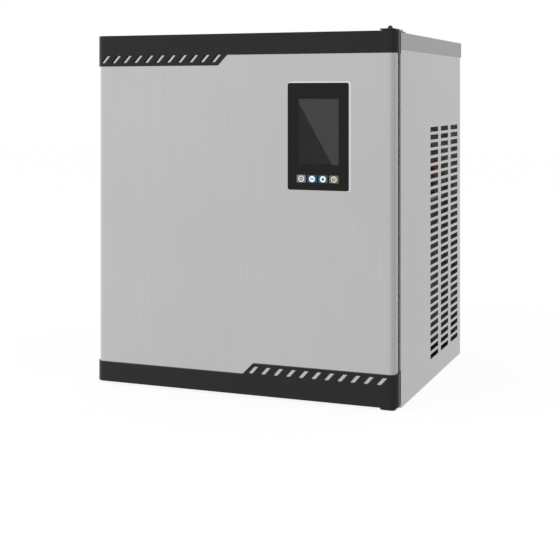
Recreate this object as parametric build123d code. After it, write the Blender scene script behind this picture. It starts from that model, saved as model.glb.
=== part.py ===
from build123d import *
import math
import os

# Modular cube ice maker head of the 560 mm class, with a right-hung front door.
# Millimetres, Z up. The model is drawn with the door's front face on Y = 0 and moves to the
# middle of its footprint when the parts are written.

# Overall sizes
WIDTH = 560.0
TOTAL_DEPTH = 500.0
COVER_TOP = 621.9
COVER_REAR = 482.2
SHEET = 1.0

# Door
TRIM_FRONT = 0.0
TRIM_REAR = 21.0
TRIM_RADIUS = 16.0
TRIM_BOTTOM = 4.4
TRIM_TOP = 623.8
TRIM_WALL = 2.5
TRIM_INSET = 3.5
TOP_NARROW_EDGE = 587.2
TOP_WIDE_EDGE = 569.0
BOTTOM_NARROW_EDGE = 39.3
BOTTOM_WIDE_EDGE = 58.8
SKIN_HALF = WIDTH / 2 - TRIM_INSET
SKIN_REAR = 20.0
SKIN_RADIUS = 11.2
LINER_FRONT = 18.5
GASKET_REAR = 33.1

# Slanted slots in the two trims
SLOT_COUNT = 11
TOP_STEP_FOOT = -41.3
TOP_STEP_LEAN = 17.5
TOP_SLOT_FIRST = -270.6
TOP_SLOT_PITCH = 21.72
TOP_SLOT_BOTTOM = 575.0
TOP_SLOT_TOP = 587.5
TOP_SLOT_LEAN = 11.1
TOP_SLOT_WIDTH = 8.2
TOP_SLOT_DRAFT = 2.4
BOTTOM_STEP_FOOT = 6.0
BOTTOM_STEP_LEAN = 19.1
BOTTOM_SLOT_FIRST = 16.6
BOTTOM_SLOT_PITCH = 22.8
BOTTOM_SLOT_BOTTOM = 41.0
BOTTOM_SLOT_TOP = 53.5
BOTTOM_SLOT_LEAN = 11.3
BOTTOM_SLOT_WIDTH = 7.3
BOTTOM_SLOT_DRAFT = 0.4

# Control panel in the door
PANEL_X = (89.6, 196.0)
PANEL_Z = (359.4, 536.7)
PANEL_FRONT = 1.2
PANEL_PLATE = 1.8
PANEL_RADIUS = 3.0
PANEL_TUB_REAR = 15.0
DISPLAY_X = (107.6, 179.6)
DISPLAY_Z = (400.9, 511.5)
KEY_CENTRES = (113.4, 132.7, 152.0, 171.3)
KEY_NAMES = ("key_power", "key_down", "key_up", "key_timer")
KEY_Z = 377.0
KEY_SIZE = (16.4, 13.2)
KEY_GAP = 0.35
KEY_FRONT = 0.8

# Hinge line of the door
PIN_X = 264.6
PIN_Y = 15.0
PIN_RADIUS = 4.0
BUSH_RADIUS = 5.5
PIN_CLEARANCE = 0.05
PLATE_X = (249.0, 275.0)
CAP_RADIUS = 4.2
CAP_HEIGHT = 5.3

# Cabinet
COVER_FLANGE_FRONT = 23.6
PANEL_FRONT_Y = 27.0
PANEL_REAR_Y = 474.8
SIDE_OUTER = 279.5
SIDE_INNER = SIDE_OUTER - SHEET
SIDE_RETURN = 1.8
UNDER_COVER = COVER_TOP - SHEET
COVER_FLANGE_BOTTOM = 593.0
FRAME_FRONT = 33.6
FRAME_REAR = 35.6
FRAME_OPEN_X = (-252.0, 236.0)
FRAME_OPEN_Z = (34.0, 588.0)
BASE_BOTTOM = 3.5
BASE_TOP = 5.0
BASE_UPSTAND = 20.0
BASE_REAR = PANEL_REAR_Y - SHEET
DROP_X = (-214.0, 132.0)
DROP_Y = (52.0, 136.0)
VENT_SLOT = (60.0, 8.9)
VENT_PITCH = (81.0, 14.22)
VENT_CENTRE = (340.0, 249.0)
VENT_COLUMNS = 3
VENT_ROWS = 30
DIVIDER_FRONT = 190.0
DIVIDER_REAR = 205.0

# Freezing compartment
EVAP_X = (-190.0, 110.0)
EVAP_Z = (240.0, 490.0)
EVAP_FRONT = 140.0
EVAP_BACK = 158.0
CELL_COLUMNS = 12
CELL_ROWS = 10
CELL_WALL = 1.8
CELL_FLOOR = 2.0
CELL_SLOPE = 4.0
SURROUND = 10.0
COIL_RADIUS = 4.0
COIL_RUNS = 6
COIL_LEFT = -160.0
COIL_RIGHT = 70.0
COIL_EXIT_X = 94.0
COIL_BOTTOM = 262.0
COIL_PITCH = 42.0
TROUGH_X = (-200.0, 228.0)
TROUGH_FRONT = 142.0
TROUGH_BOTTOM = 62.0
TROUGH_TOP = 150.0
WATER_Y = 166.0
DISTRIBUTOR_Y = 150.0
DISTRIBUTOR_Z = 500.0
CURTAIN_Y = 113.0
CURTAIN_AXIS_Z = 512.0
CURTAIN_PIN = 3.0
FLOAT_X = 96.0
HOSE_X = 140.0
PUMP_X = 180.0

# Machine compartment
COMPRESSOR = (-130.0, 345.0)
COMPRESSOR_RADIUS = 72.0
CONDENSER_X = (230.0, 256.0)
CONDENSER_Y = (222.0, 458.0)
CONDENSER_Z = (25.0, 325.0)
FAN_Y = 340.0
FAN_Z = 175.0
FAN_RADIUS = 100.0
ORIFICE_RADIUS = 108.0
SHAFT_RADIUS = 4.0
MOTOR_RADIUS = 38.0
LINE_RADIUS = 4.0
SUCTION_RADIUS = 6.0
BEND = 14.0
INLET = (216.0, 560.0)
DRAIN = (-240.0, 36.0)
GLAND = (-240.0, 100.0)


def block(x, y, z):
    """A block between two values on each axis."""
    centre = Pos((x[0] + x[1]) / 2, (y[0] + y[1]) / 2, (z[0] + z[1]) / 2)
    return centre * Box(x[1] - x[0], y[1] - y[0], z[1] - z[0])


def rod_z(x, y, z, radius):
    """An upright round bar from z[0] to z[1]."""
    return Pos(x, y, (z[0] + z[1]) / 2) * Cylinder(radius, z[1] - z[0])


def rod_x(x, y, z, radius):
    """A round bar along X from x[0] to x[1]."""
    return Pos((x[0] + x[1]) / 2, y, z) * Rot(0, 90, 0) * Cylinder(radius, x[1] - x[0])


def rod_y(x, y, z, radius):
    """A round bar along Y from y[0] to y[1]."""
    return Pos(x, (y[0] + y[1]) / 2, z) * Rot(90, 0, 0) * Cylinder(radius, y[1] - y[0])


def tube(points, radius, bend=BEND):
    """A bent round bar through points, with one radius at every corner."""
    path = FilletPolyline(*points, radius=bend) if len(points) > 2 else Polyline(*points)
    start = Plane(origin=path @ 0, z_dir=path % 0)
    return sweep(start * Circle(radius), path=path)


def door_plan(half_width, front, rear, radius):
    """Plan of the door: a strip across the machine whose two front corners are round."""
    strip = Pos(0, (front + rear) / 2) * Rectangle(2 * half_width, rear - front)
    return fillet(strip.vertices().sort_by(Axis.Y)[:2], radius)


def upright(plan, z):
    """A plan carried straight up from z[0] to z[1]."""
    return extrude(Pos(0, 0, z[0]) * plan, amount=z[1] - z[0])


def wall_outline(points, y):
    """A closed outline in the XZ plane carried along Y from y[0] to y[1]."""
    face = make_face(Polyline(*[(x, y[0], z) for x, z in points], close=True))
    return extrude(face, amount=y[1] - y[0], dir=(0, 1, 0))


def slanted_slots(first, pitch, z, width, lean, draft):
    """The row of leaning slots through a trim's front wall, each narrowing inwards on its left side."""
    front, rear = TRIM_FRONT - 1, 2 * TRIM_WALL
    slope = draft / TRIM_WALL
    travel = Vector(lean, 0, z[1] - z[0])
    slots = []
    for index in range(SLOT_COUNT):
        x = first + index * pitch
        section = Polyline((x + slope * front, front, z[0]), (x + width, front, z[0]),
                           (x + width, rear, z[0]), (x + slope * rear, rear, z[0]), close=True)
        slots.append(extrude(make_face(section), amount=travel.length, dir=travel.normalized()))
    return slots


def trim_cap(z, plate_z):
    """A door end cap: a U-shaped wall in front of the skin, closed by an end plate."""
    outer = door_plan(WIDTH / 2, TRIM_FRONT, TRIM_REAR, TRIM_RADIUS)
    inner = door_plan(SKIN_HALF, TRIM_WALL, TRIM_REAR + 1, SKIN_RADIUS)
    hollow = (plate_z[1], z[1] + 1) if plate_z[0] == z[0] else (z[0] - 1, plate_z[0])
    cap = upright(outer, z) - upright(inner, hollow)
    return cap - rod_z(PIN_X, PIN_Y, (z[0] - 1, z[1] + 1), BUSH_RADIUS)


def door_top_trim():
    """Top cap: deep on the left with slanted slots, stepping up to a narrow band."""
    cap = trim_cap((TOP_WIDE_EDGE, TRIM_TOP), (TRIM_TOP - TRIM_WALL, TRIM_TOP))
    reach = WIDTH / 2 + 5
    step = [(TOP_STEP_FOOT - 2, TOP_WIDE_EDGE - 2), (reach, TOP_WIDE_EDGE - 2),
            (reach, TOP_NARROW_EDGE), (TOP_STEP_FOOT + TOP_STEP_LEAN, TOP_NARROW_EDGE),
            (TOP_STEP_FOOT, TOP_WIDE_EDGE)]
    cap -= wall_outline(step, (TRIM_FRONT - 1, TRIM_REAR + 1))
    return cap - slanted_slots(TOP_SLOT_FIRST, TOP_SLOT_PITCH, (TOP_SLOT_BOTTOM, TOP_SLOT_TOP),
                               TOP_SLOT_WIDTH, TOP_SLOT_LEAN, TOP_SLOT_DRAFT)


def door_bottom_trim():
    """Bottom cap: narrow on the left, stepping up to a deep band with slanted slots."""
    cap = trim_cap((TRIM_BOTTOM, BOTTOM_WIDE_EDGE), (TRIM_BOTTOM, TRIM_BOTTOM + TRIM_WALL))
    reach = WIDTH / 2 + 5
    foot = BOTTOM_STEP_FOOT
    step = [(-reach, BOTTOM_NARROW_EDGE), (foot, BOTTOM_NARROW_EDGE),
            (foot + BOTTOM_STEP_LEAN, BOTTOM_WIDE_EDGE),
            (foot + BOTTOM_STEP_LEAN, BOTTOM_WIDE_EDGE + 2), (-reach, BOTTOM_WIDE_EDGE + 2)]
    cap -= wall_outline(step, (TRIM_FRONT - 1, TRIM_REAR + 1))
    slot_z = (BOTTOM_SLOT_BOTTOM, BOTTOM_SLOT_TOP)
    return cap - slanted_slots(BOTTOM_SLOT_FIRST, BOTTOM_SLOT_PITCH, slot_z,
                               BOTTOM_SLOT_WIDTH, BOTTOM_SLOT_LEAN, BOTTOM_SLOT_DRAFT)


DOOR_Z = (TRIM_BOTTOM + TRIM_WALL, TRIM_TOP - TRIM_WALL)
TUB_X = (PANEL_X[0] + 2.6, PANEL_X[1] - 2.6)
TUB_Z = (PANEL_Z[0] + 2.6, PANEL_Z[1] - 2.6)


def door_skin():
    """Folded steel front of the door, with the cut-out for the control panel."""
    outer = door_plan(SKIN_HALF, TRIM_WALL, SKIN_REAR, SKIN_RADIUS)
    inner = door_plan(SKIN_HALF - SHEET, TRIM_WALL + SHEET, SKIN_REAR + 1, SKIN_RADIUS - SHEET)
    skin = upright(outer, DOOR_Z) - upright(inner, (DOOR_Z[0] - 1, DOOR_Z[1] + 1))
    return skin - block(TUB_X, (0, 10), TUB_Z)


def door_foam():
    """Insulation between the skin and the liner, with the pocket for the control panel."""
    plan = door_plan(SKIN_HALF - SHEET, TRIM_WALL + SHEET, LINER_FRONT, SKIN_RADIUS - SHEET)
    foam = upright(plan, DOOR_Z) - block(TUB_X, (0, PANEL_TUB_REAR), TUB_Z)
    bush_z = (DOOR_Z[0] - 1, DOOR_Z[0] + 16), (DOOR_Z[1] - 16, DOOR_Z[1] + 1)
    return foam - [rod_z(PIN_X, PIN_Y, z, BUSH_RADIUS) for z in bush_z]


def door_liner():
    """Formed inner face of the door with its raised, drafted centre panel."""
    half = SKIN_HALF - SHEET
    plate = block((-half, half), (LINER_FRONT, TRIM_REAR), DOOR_Z)
    foot = Plane.XZ.offset(-TRIM_REAR) * Pos(-8, 311) * RectangleRounded(460, 520, 22)
    crown = Plane.XZ.offset(-TRIM_REAR - 8) * Pos(-8, 311) * RectangleRounded(440, 500, 14)
    liner = plate + loft([foot, crown])
    liner -= block((-130, 114), (TRIM_REAR + 5, TRIM_REAR + 9), (120, 500))
    bush_z = (DOOR_Z[0] - 1, DOOR_Z[0] + 16), (DOOR_Z[1] - 16, DOOR_Z[1] + 1)
    return liner - [rod_z(PIN_X, PIN_Y, z, BUSH_RADIUS) for z in bush_z]


def gasket_ring(half_band, y):
    """One level of the door seal: a rounded ring around the compartment opening."""
    centre, width, height = Pos(-10, 311), 506, 574
    grown = centre * RectangleRounded(width + 2 * half_band, height + 2 * half_band, 14 + half_band)
    shrunk = centre * RectangleRounded(width - 2 * half_band, height - 2 * half_band, 14 - half_band)
    return extrude(Plane.XZ.offset(-y[1]) * (grown - shrunk), amount=y[1] - y[0])


def door_gasket():
    """Magnetic door seal: a broad root, a waist and a bulb that meets the front frame."""
    root = gasket_ring(8.0, (TRIM_REAR, TRIM_REAR + 3))
    waist = gasket_ring(3.0, (TRIM_REAR + 3, TRIM_REAR + 6.5))
    bulb = gasket_ring(6.0, (TRIM_REAR + 6.5, GASKET_REAR))
    return root + waist + bulb


def hinge_bushes():
    """Plastic bushes pressed into the ends of the door, with their pin bores."""
    bushes = []
    for z in ((TRIM_BOTTOM, DOOR_Z[0] + 16), (DOOR_Z[1] - 16, TRIM_TOP)):
        bore = rod_z(PIN_X, PIN_Y, (z[0] - 1, z[1] + 1), PIN_RADIUS + PIN_CLEARANCE)
        bushes.append(rod_z(PIN_X, PIN_Y, z, BUSH_RADIUS) - bore)
    return bushes


def front_plate(x, z, y, radius):
    """A plate with rounded corners that lies parallel to the door's face."""
    centre = Pos((x[0] + x[1]) / 2, (z[0] + z[1]) / 2)
    plate = centre * RectangleRounded(x[1] - x[0], z[1] - z[0], radius)
    return extrude(Plane.XZ.offset(-y[1]) * plate, amount=y[1] - y[0])


def key_window(x, gap):
    """A key's outline at x, grown by gap, as ranges on X and Z."""
    half_x, half_z = KEY_SIZE[0] / 2 + gap, KEY_SIZE[1] / 2 + gap
    return (x - half_x, x + half_x), (KEY_Z - half_z, KEY_Z + half_z)


def control_bezel():
    """Black moulded panel: a rimmed plate with a tub behind it and four board posts."""
    plate_rear = PANEL_FRONT + PANEL_PLATE
    bezel = front_plate(PANEL_X, PANEL_Z, (PANEL_FRONT, TRIM_WALL), PANEL_RADIUS)
    bezel += block(TUB_X, (TRIM_WALL, PANEL_TUB_REAR), TUB_Z)
    wall = 1.6
    room_x, room_z = (TUB_X[0] + wall, TUB_X[1] - wall), (TUB_Z[0] + wall, TUB_Z[1] - wall)
    bezel -= block(room_x, (plate_rear, PANEL_TUB_REAR + 1), room_z)
    bezel -= block(DISPLAY_X, (0, plate_rear + 1), DISPLAY_Z)
    for x in KEY_CENTRES:
        window_x, window_z = key_window(x, KEY_GAP)
        bezel -= front_plate(window_x, window_z, (0, plate_rear + 1), 1.5)
    for x in (room_x[0] + 3, room_x[1] - 3):
        for z in (room_z[0] + 3, room_z[1] - 3):
            bezel += rod_y(x, (plate_rear, 10.0), z, 2.5)
    return bezel


def display_window():
    """Clear window set flush in the panel."""
    return block(DISPLAY_X, (PANEL_FRONT + 0.2, PANEL_FRONT + PANEL_PLATE), DISPLAY_Z)


def display_module():
    """Flat display unit between the window and the board."""
    x, z = (DISPLAY_X[0] - 3, DISPLAY_X[1] + 3), (DISPLAY_Z[0] - 3, DISPLAY_Z[1] + 3)
    return block(x, (PANEL_FRONT + PANEL_PLATE, 10.0), z)


def control_board():
    """Circuit board on the bezel's posts, with one tact switch behind every key."""
    x, z = (TUB_X[0] + 2.2, TUB_X[1] - 2.2), (TUB_Z[0] + 2.2, TUB_Z[1] - 2.2)
    board = block(x, (10.0, 11.6), z)
    for key_x in KEY_CENTRES:
        board += block((key_x - 3, key_x + 3), (7.6, 10.0), (KEY_Z - 3, KEY_Z + 3))
        board += rod_y(key_x, (6.8, 7.6), KEY_Z, 1.7)
    board += block((TUB_X[0] + 12, TUB_X[0] + 40), (11.6, 14.6), (TUB_Z[1] - 30, TUB_Z[1] - 18))
    return board


def key(x):
    """One key: a rounded cap, the collar that keeps it in the panel and its stem."""
    cap_x, cap_z = key_window(x, 0)
    collar_x, collar_z = key_window(x, 1.0)
    collar_front = PANEL_FRONT + PANEL_PLATE + 0.3
    body = front_plate(cap_x, cap_z, (KEY_FRONT, collar_front), 1.5)
    body += block(collar_x, (collar_front, collar_front + 1.0), collar_z)
    return body + rod_y(x, (collar_front + 1.0, 5.6), KEY_Z, 2.0)


def base_pan():
    """Steel floor pan with an upstand all round and the flanged opening that the ice drops through."""
    plan = block((-SIDE_INNER, SIDE_INNER), (FRAME_REAR, BASE_REAR), (BASE_BOTTOM, BASE_UPSTAND))
    inside = block((-SIDE_INNER + 1.5, SIDE_INNER - 1.5), (FRAME_REAR + 1.5, BASE_REAR - 1.5),
                   (BASE_TOP, BASE_UPSTAND + 1))
    pan = plan - inside
    rim_x, rim_y = (DROP_X[0] - 1.5, DROP_X[1] + 1.5), (DROP_Y[0] - 1.5, DROP_Y[1] + 1.5)
    pan += block(rim_x, rim_y, (BASE_TOP, 17.0))
    pan -= block(DROP_X, DROP_Y, (0, 20.0))
    pan -= [rod_z(x, 58.0, (0, 10.0), 2.55) for x in (254.0, 270.0)]
    return pan


def bin_seal():
    """Foam strips under the pan that seal the head to its storage bin."""
    strips = [block((-270, 240), (40, 50), (0, BASE_BOTTOM)),
              block((-270, 240), (455, 470), (0, BASE_BOTTOM)),
              block((-270, -255), (50, 455), (0, BASE_BOTTOM)),
              block((225, 240), (50, 455), (0, BASE_BOTTOM))]
    return strips[0] + strips[1] + strips[2] + strips[3]


def side_panel(x_low):
    """Side sheet with three columns of thirty ventilation slots and a narrow return at its front."""
    length, height = PANEL_REAR_Y - PANEL_FRONT_Y, UNDER_COVER
    sheet = Pos((PANEL_REAR_Y + PANEL_FRONT_Y) / 2, height / 2) * Rectangle(length, height)
    grid = GridLocations(VENT_PITCH[0], VENT_PITCH[1], VENT_COLUMNS, VENT_ROWS)
    slots = [Pos(*VENT_CENTRE) * place * RectangleRounded(*VENT_SLOT, 2.0) for place in grid]
    panel = extrude(Plane.YZ.offset(x_low) * (sheet - slots), amount=SHEET)
    inwards = sorted(math.copysign(x, x_low) for x in (SIDE_INNER - SIDE_RETURN, SIDE_INNER))
    return panel + block(inwards, (PANEL_FRONT_Y, PANEL_FRONT_Y + SHEET), (0, height))


def back_panel():
    """Rear sheet with exhaust slots and the holes for water, drain and mains."""
    sheet = Pos(0, UNDER_COVER / 2) * Rectangle(2 * SIDE_INNER, UNDER_COVER)
    slots = [Pos(-20, 250) * place * RectangleRounded(110, 8.0, 2.0)
             for place in GridLocations(130.0, 20.0, 2, 12)]
    holes = [Pos(INLET[0], INLET[1]) * Circle(14.0), Pos(DRAIN[0], DRAIN[1]) * Circle(11.0),
             Pos(GLAND[0], GLAND[1]) * Circle(10.0)]
    face = sheet - slots - holes
    return extrude(Plane.XZ.offset(-PANEL_REAR_Y) * face, amount=SHEET)


def top_cover():
    """Lid of the cabinet: a flat top with flanges down both sides and the back."""
    half = SIDE_OUTER + SHEET
    cover = block((-half, half), (FRAME_FRONT, COVER_REAR), (COVER_FLANGE_BOTTOM, COVER_TOP))
    cover -= block((-SIDE_OUTER, SIDE_OUTER), (0, COVER_REAR - SHEET), (500, UNDER_COVER))
    for low, high in ((-half, -SIDE_OUTER), (SIDE_OUTER, half)):
        cover += block((low, high), (COVER_FLANGE_FRONT, FRAME_FRONT), (COVER_FLANGE_BOTTOM, COVER_TOP))
    cover -= [rod_z(x, 58.0, (600, 630), 2.55) for x in (254.0, 270.0)]
    return cover


def front_frame():
    """Pressed frame around the compartment opening that the door seals against."""
    frame = block((-SIDE_INNER, SIDE_INNER), (FRAME_FRONT, FRAME_REAR), (BASE_BOTTOM, UNDER_COVER))
    return frame - block(FRAME_OPEN_X, (30, 40), FRAME_OPEN_Z)


def compartment_liner():
    """Moulded hood of the freezing compartment: two cheeks and a roof."""
    wall = 3.0
    x, z = FRAME_OPEN_X, (34.0, FRAME_OPEN_Z[1])
    hood = block(x, (FRAME_REAR, DIVIDER_FRONT), z)
    return hood - block((x[0] + wall, x[1] - wall), (30, DIVIDER_FRONT + 1), (0, z[1] - wall))


def divider_wall():
    """Insulated wall between the freezing and the machine compartments, with its tube holes."""
    wall = block((-276.0, 276.0), (DIVIDER_FRONT, DIVIDER_REAR), (BASE_TOP, UNDER_COVER))
    holes = [rod_y(COIL_EXIT_X, (180, 210), COIL_BOTTOM, COIL_RADIUS + 2),
             rod_y(COIL_EXIT_X, (180, 210), COIL_BOTTOM + COIL_PITCH * (COIL_RUNS - 1), COIL_RADIUS + 2),
             rod_y(INLET[0], (180, 210), INLET[1], 7.0),
             rod_y(DRAIN[0], (180, 210), DRAIN[1], 10.0)]
    return wall - holes


def cell_pocket(column, row):
    """One ice cell: a square pocket whose floor and roof slope down towards the front."""
    pitch_x = (EVAP_X[1] - EVAP_X[0]) / CELL_COLUMNS
    pitch_z = (EVAP_Z[1] - EVAP_Z[0]) / CELL_ROWS
    x = EVAP_X[0] + column * pitch_x + CELL_WALL / 2
    low = EVAP_Z[0] + row * pitch_z + CELL_WALL / 2
    high = low + pitch_z - CELL_WALL - CELL_SLOPE
    rear = EVAP_BACK - CELL_FLOOR
    corners = [(x, EVAP_FRONT, low), (x, rear, low + CELL_SLOPE),
               (x, rear, high + CELL_SLOPE), (x, EVAP_FRONT, high)]
    face = make_face(Polyline(*corners, close=True))
    return extrude(face, amount=pitch_x - CELL_WALL, dir=(1, 0, 0))


def evaporator_plate():
    """Freezing plate: a grid of sloped cells that the slab of cubes slides out of."""
    plate = block(EVAP_X, (EVAP_FRONT, EVAP_BACK), EVAP_Z)
    cells = [cell_pocket(column, row) for column in range(CELL_COLUMNS) for row in range(CELL_ROWS)]
    return plate - cells


def evaporator_frame():
    """Moulded surround that carries the plate off the divider, with a drip lip below."""
    x = (EVAP_X[0] - SURROUND, EVAP_X[1] + SURROUND)
    z = (EVAP_Z[0] - SURROUND, EVAP_Z[1] + SURROUND)
    frame = block(x, (EVAP_FRONT - 4, DIVIDER_FRONT), z)
    frame -= block(EVAP_X, (EVAP_FRONT - 5, DIVIDER_FRONT + 1), EVAP_Z)
    lip = make_face(Polyline((x[0], EVAP_FRONT - 4, z[0]), (x[0], EVAP_FRONT + 20, z[0] - 14),
                             (x[0], EVAP_FRONT + 24, z[0] - 14), (x[0], EVAP_FRONT + 24, z[0]), close=True))
    return frame + extrude(lip, amount=x[1] - x[0], dir=(1, 0, 0))


def evaporator_coil():
    """Serpentine tube on the back of the plate, with both ends led through the divider."""
    y = EVAP_BACK + COIL_RADIUS
    points = [(COIL_EXIT_X, 222.0, COIL_BOTTOM), (COIL_EXIT_X, y, COIL_BOTTOM)]
    side, other = COIL_LEFT, COIL_RIGHT
    for run in range(COIL_RUNS - 1):
        z = COIL_BOTTOM + run * COIL_PITCH
        points += [(side, y, z), (side, y, z + COIL_PITCH)]
        side, other = other, side
    top = COIL_BOTTOM + (COIL_RUNS - 1) * COIL_PITCH
    points += [(COIL_EXIT_X, y, top), (COIL_EXIT_X, 222.0, top)]
    return tube(points, COIL_RADIUS, 12.0)


def water_distributor():
    """Open channel over the plate whose notched front edge spreads the water."""
    x, y = (EVAP_X[0], EVAP_X[1]), (DISTRIBUTOR_Y - 11, DISTRIBUTOR_Y + 11)
    z = (DISTRIBUTOR_Z, DISTRIBUTOR_Z + 22)
    channel = block(x, y, z)
    channel -= block((x[0] + 2, x[1] - 2), (y[0] + 2, y[1] - 2), (z[0] + 2, z[1] + 1))
    pitch = (x[1] - x[0]) / CELL_COLUMNS
    for index in range(CELL_COLUMNS):
        centre = x[0] + (index + 0.5) * pitch
        notch = [(centre, z[1] - 8), (centre + 4, z[1] + 1), (centre - 4, z[1] + 1)]
        channel -= wall_outline(notch, (y[0] - 1, y[0] + 3))
    spigot = rod_x((x[1], x[1] + 14), DISTRIBUTOR_Y, DISTRIBUTOR_Z + 11, 6.0)
    bore = rod_x((x[1] - 3, x[1] + 15), DISTRIBUTOR_Y, DISTRIBUTOR_Z + 11, 4.5)
    return channel + spigot - bore


def water_trough():
    """Moulded sump under the plate, with rounded corners and a drain stub."""
    wall = 2.5
    width, length = TROUGH_X[1] - TROUGH_X[0], DIVIDER_FRONT - TROUGH_FRONT
    centre = Pos((TROUGH_X[0] + TROUGH_X[1]) / 2, (TROUGH_FRONT + DIVIDER_FRONT) / 2)
    shell = upright(centre * RectangleRounded(width, length, 9.0), (TROUGH_BOTTOM, TROUGH_TOP))
    hollow = centre * RectangleRounded(width - 2 * wall, length - 2 * wall, 9.0 - wall)
    shell -= upright(hollow, (TROUGH_BOTTOM + wall, TROUGH_TOP + 1))
    stub = rod_z(-185.0, WATER_Y, (TROUGH_BOTTOM - 6, TROUGH_BOTTOM), 8.0)
    return shell + stub - rod_z(-185.0, WATER_Y, (TROUGH_BOTTOM - 7, TROUGH_BOTTOM + 3), 6.0)


def water_pump():
    """Circulation pump: motor on a bracket over the trough, shaft tube, housing and outlet pipe."""
    pump = block((HOSE_X - 12, PUMP_X + 26), (TROUGH_FRONT, DIVIDER_FRONT), (TROUGH_TOP, TROUGH_TOP + 3))
    pump += rod_z(PUMP_X, WATER_Y, (TROUGH_TOP + 3, TROUGH_TOP + 68), 22.0)
    pump += rod_z(PUMP_X, WATER_Y, (TROUGH_TOP + 68, TROUGH_TOP + 76), 12.0)
    pump += rod_z(PUMP_X, WATER_Y, (100.0, TROUGH_TOP), 6.0)
    pump += rod_z(PUMP_X, WATER_Y, (74.0, 100.0), 17.0)
    pump += block((HOSE_X, PUMP_X), (WATER_Y - 6, WATER_Y + 6), (78.0, 90.0))
    return pump + rod_z(HOSE_X, WATER_Y, (78.0, TROUGH_TOP + 16), 6.0)


def pump_hose():
    """Hose from the pump's outlet up to the distributor's spigot."""
    z = DISTRIBUTOR_Z + 11
    points = [(HOSE_X, WATER_Y, TROUGH_TOP + 16), (HOSE_X, WATER_Y, 430.0),
              (HOSE_X, DISTRIBUTOR_Y, 470.0), (HOSE_X, DISTRIBUTOR_Y, z), (EVAP_X[1] + 14, DISTRIBUTOR_Y, z)]
    return tube(points, 6.0, 11.0)


def float_stem():
    """Guide rod of the float switch on its bridge over the trough."""
    stem = block((FLOAT_X - 9, FLOAT_X + 9), (TROUGH_FRONT, DIVIDER_FRONT), (TROUGH_TOP, TROUGH_TOP + 3))
    stem += rod_z(FLOAT_X, WATER_Y, (84.0, TROUGH_TOP), 3.0)
    stem += rod_z(FLOAT_X, WATER_Y, (84.0, 88.0), 6.0)
    return stem + rod_z(FLOAT_X, WATER_Y, (TROUGH_TOP + 3, TROUGH_TOP + 12), 6.0)


def float_ring():
    """Ring float that rides up and down the stem with the water."""
    ring = rod_z(FLOAT_X, WATER_Y, (88.5, 112.5), 13.0)
    ring = chamfer(ring.edges().filter_by(GeomType.CIRCLE), 2.5)
    return ring - rod_z(FLOAT_X, WATER_Y, (80, 120), 3.4)


def curtain_bracket(x):
    """Arm that carries one end of the curtain from the side of the evaporator frame."""
    arm = block(x, (103.0, 134.0), (470.0, 522.0)) + block(x, (134.0, 176.0), (470.0, 496.0))
    corner = arm.edges().filter_by(Axis.X).sort_by(Axis.Y)[:2]
    arm = fillet(corner, 8.0)
    return arm - rod_x((x[0] - 1, x[1] + 1), CURTAIN_Y, CURTAIN_AXIS_Z, CURTAIN_PIN + PIN_CLEARANCE)


def curtain_brackets():
    """The two curtain arms."""
    low, high = EVAP_X[0] - SURROUND, EVAP_X[1] + SURROUND
    return [curtain_bracket((low - 6, low)), curtain_bracket((high, high + 6))]


def curtain():
    """Splash curtain: a ribbed plastic sheet that hangs on two pins in front of the plate."""
    x = (EVAP_X[0] - 6, EVAP_X[1] + 6)
    sheet = block(x, (CURTAIN_Y - 1.25, CURTAIN_Y + 1.25), (206.0, CURTAIN_AXIS_Z - 2))
    sheet += rod_x((x[0] - 9, x[1] + 9), CURTAIN_Y, CURTAIN_AXIS_Z, CURTAIN_PIN)
    for index in range(5):
        rib = x[0] + 20 + index * (x[1] - x[0] - 40) / 4
        sheet += block((rib - 1.5, rib + 1.5), (CURTAIN_Y - 5, CURTAIN_Y - 1.25), (214.0, 496.0))
    return sheet + block(x, (CURTAIN_Y - 7, CURTAIN_Y - 1.25), (206.0, 209.0))


def compressor():
    """Hermetic compressor: a welded pot with domed ends on a four-armed foot plate."""
    radius = COMPRESSOR_RADIUS
    half = make_face(Polyline((0, 30), (radius - 22, 30), (radius - 6, 40), (radius, 56), (radius, 118),
                              (radius + 4, 118), (radius + 4, 126), (radius, 126), (radius, 180),
                              (radius - 8, 198), (radius - 26, 208), (0, 212), close=True))
    pot = revolve(Plane.XZ * half, Axis.Z)
    plate = Pos(0, 0, 26) * Box(176, 40, 8) + Pos(0, 0, 26) * Box(40, 176, 8)
    unit = pot + Rot(0, 0, 45) * plate
    unit += Pos(-35, -15, 216) * Cylinder(SUCTION_RADIUS, 24) + Pos(35, -15, 216) * Cylinder(LINE_RADIUS, 24)
    unit += Pos(0, radius + 12, 120) * Box(62, 40, 62)
    return Pos(*COMPRESSOR, 0) * unit


def compressor_grommets():
    """Rubber mounts under the four arms of the compressor."""
    reach = 78.0 * math.sqrt(0.5)
    return [rod_z(COMPRESSOR[0] + i * reach, COMPRESSOR[1] + j * reach, (BASE_TOP, 22.0), 12.0)
            for i in (-1, 1) for j in (-1, 1)]


def condenser_coil():
    """Finned condenser: a tube block between end plates, its fins open to the side vents."""
    (x0, x1), (y0, y1), z = CONDENSER_X, CONDENSER_Y, CONDENSER_Z
    coil = block((x0, x1), (y0, y1), z)
    pitch = (y1 - y0) / 34
    for index in range(1, 33):
        y = y0 + index * pitch
        coil -= block((x1 - 9, x1 + 1), (y + 0.6, y + pitch - 0.6), (z[0] + 6, z[1] - 6))
    for y in (250.0, 430.0):
        coil += rod_z((x0 + x1) / 2, y, (z[1], z[1] + 10), LINE_RADIUS)
    return coil + block((x0, x1), (y0, y1), (BASE_TOP, z[0]))


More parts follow.
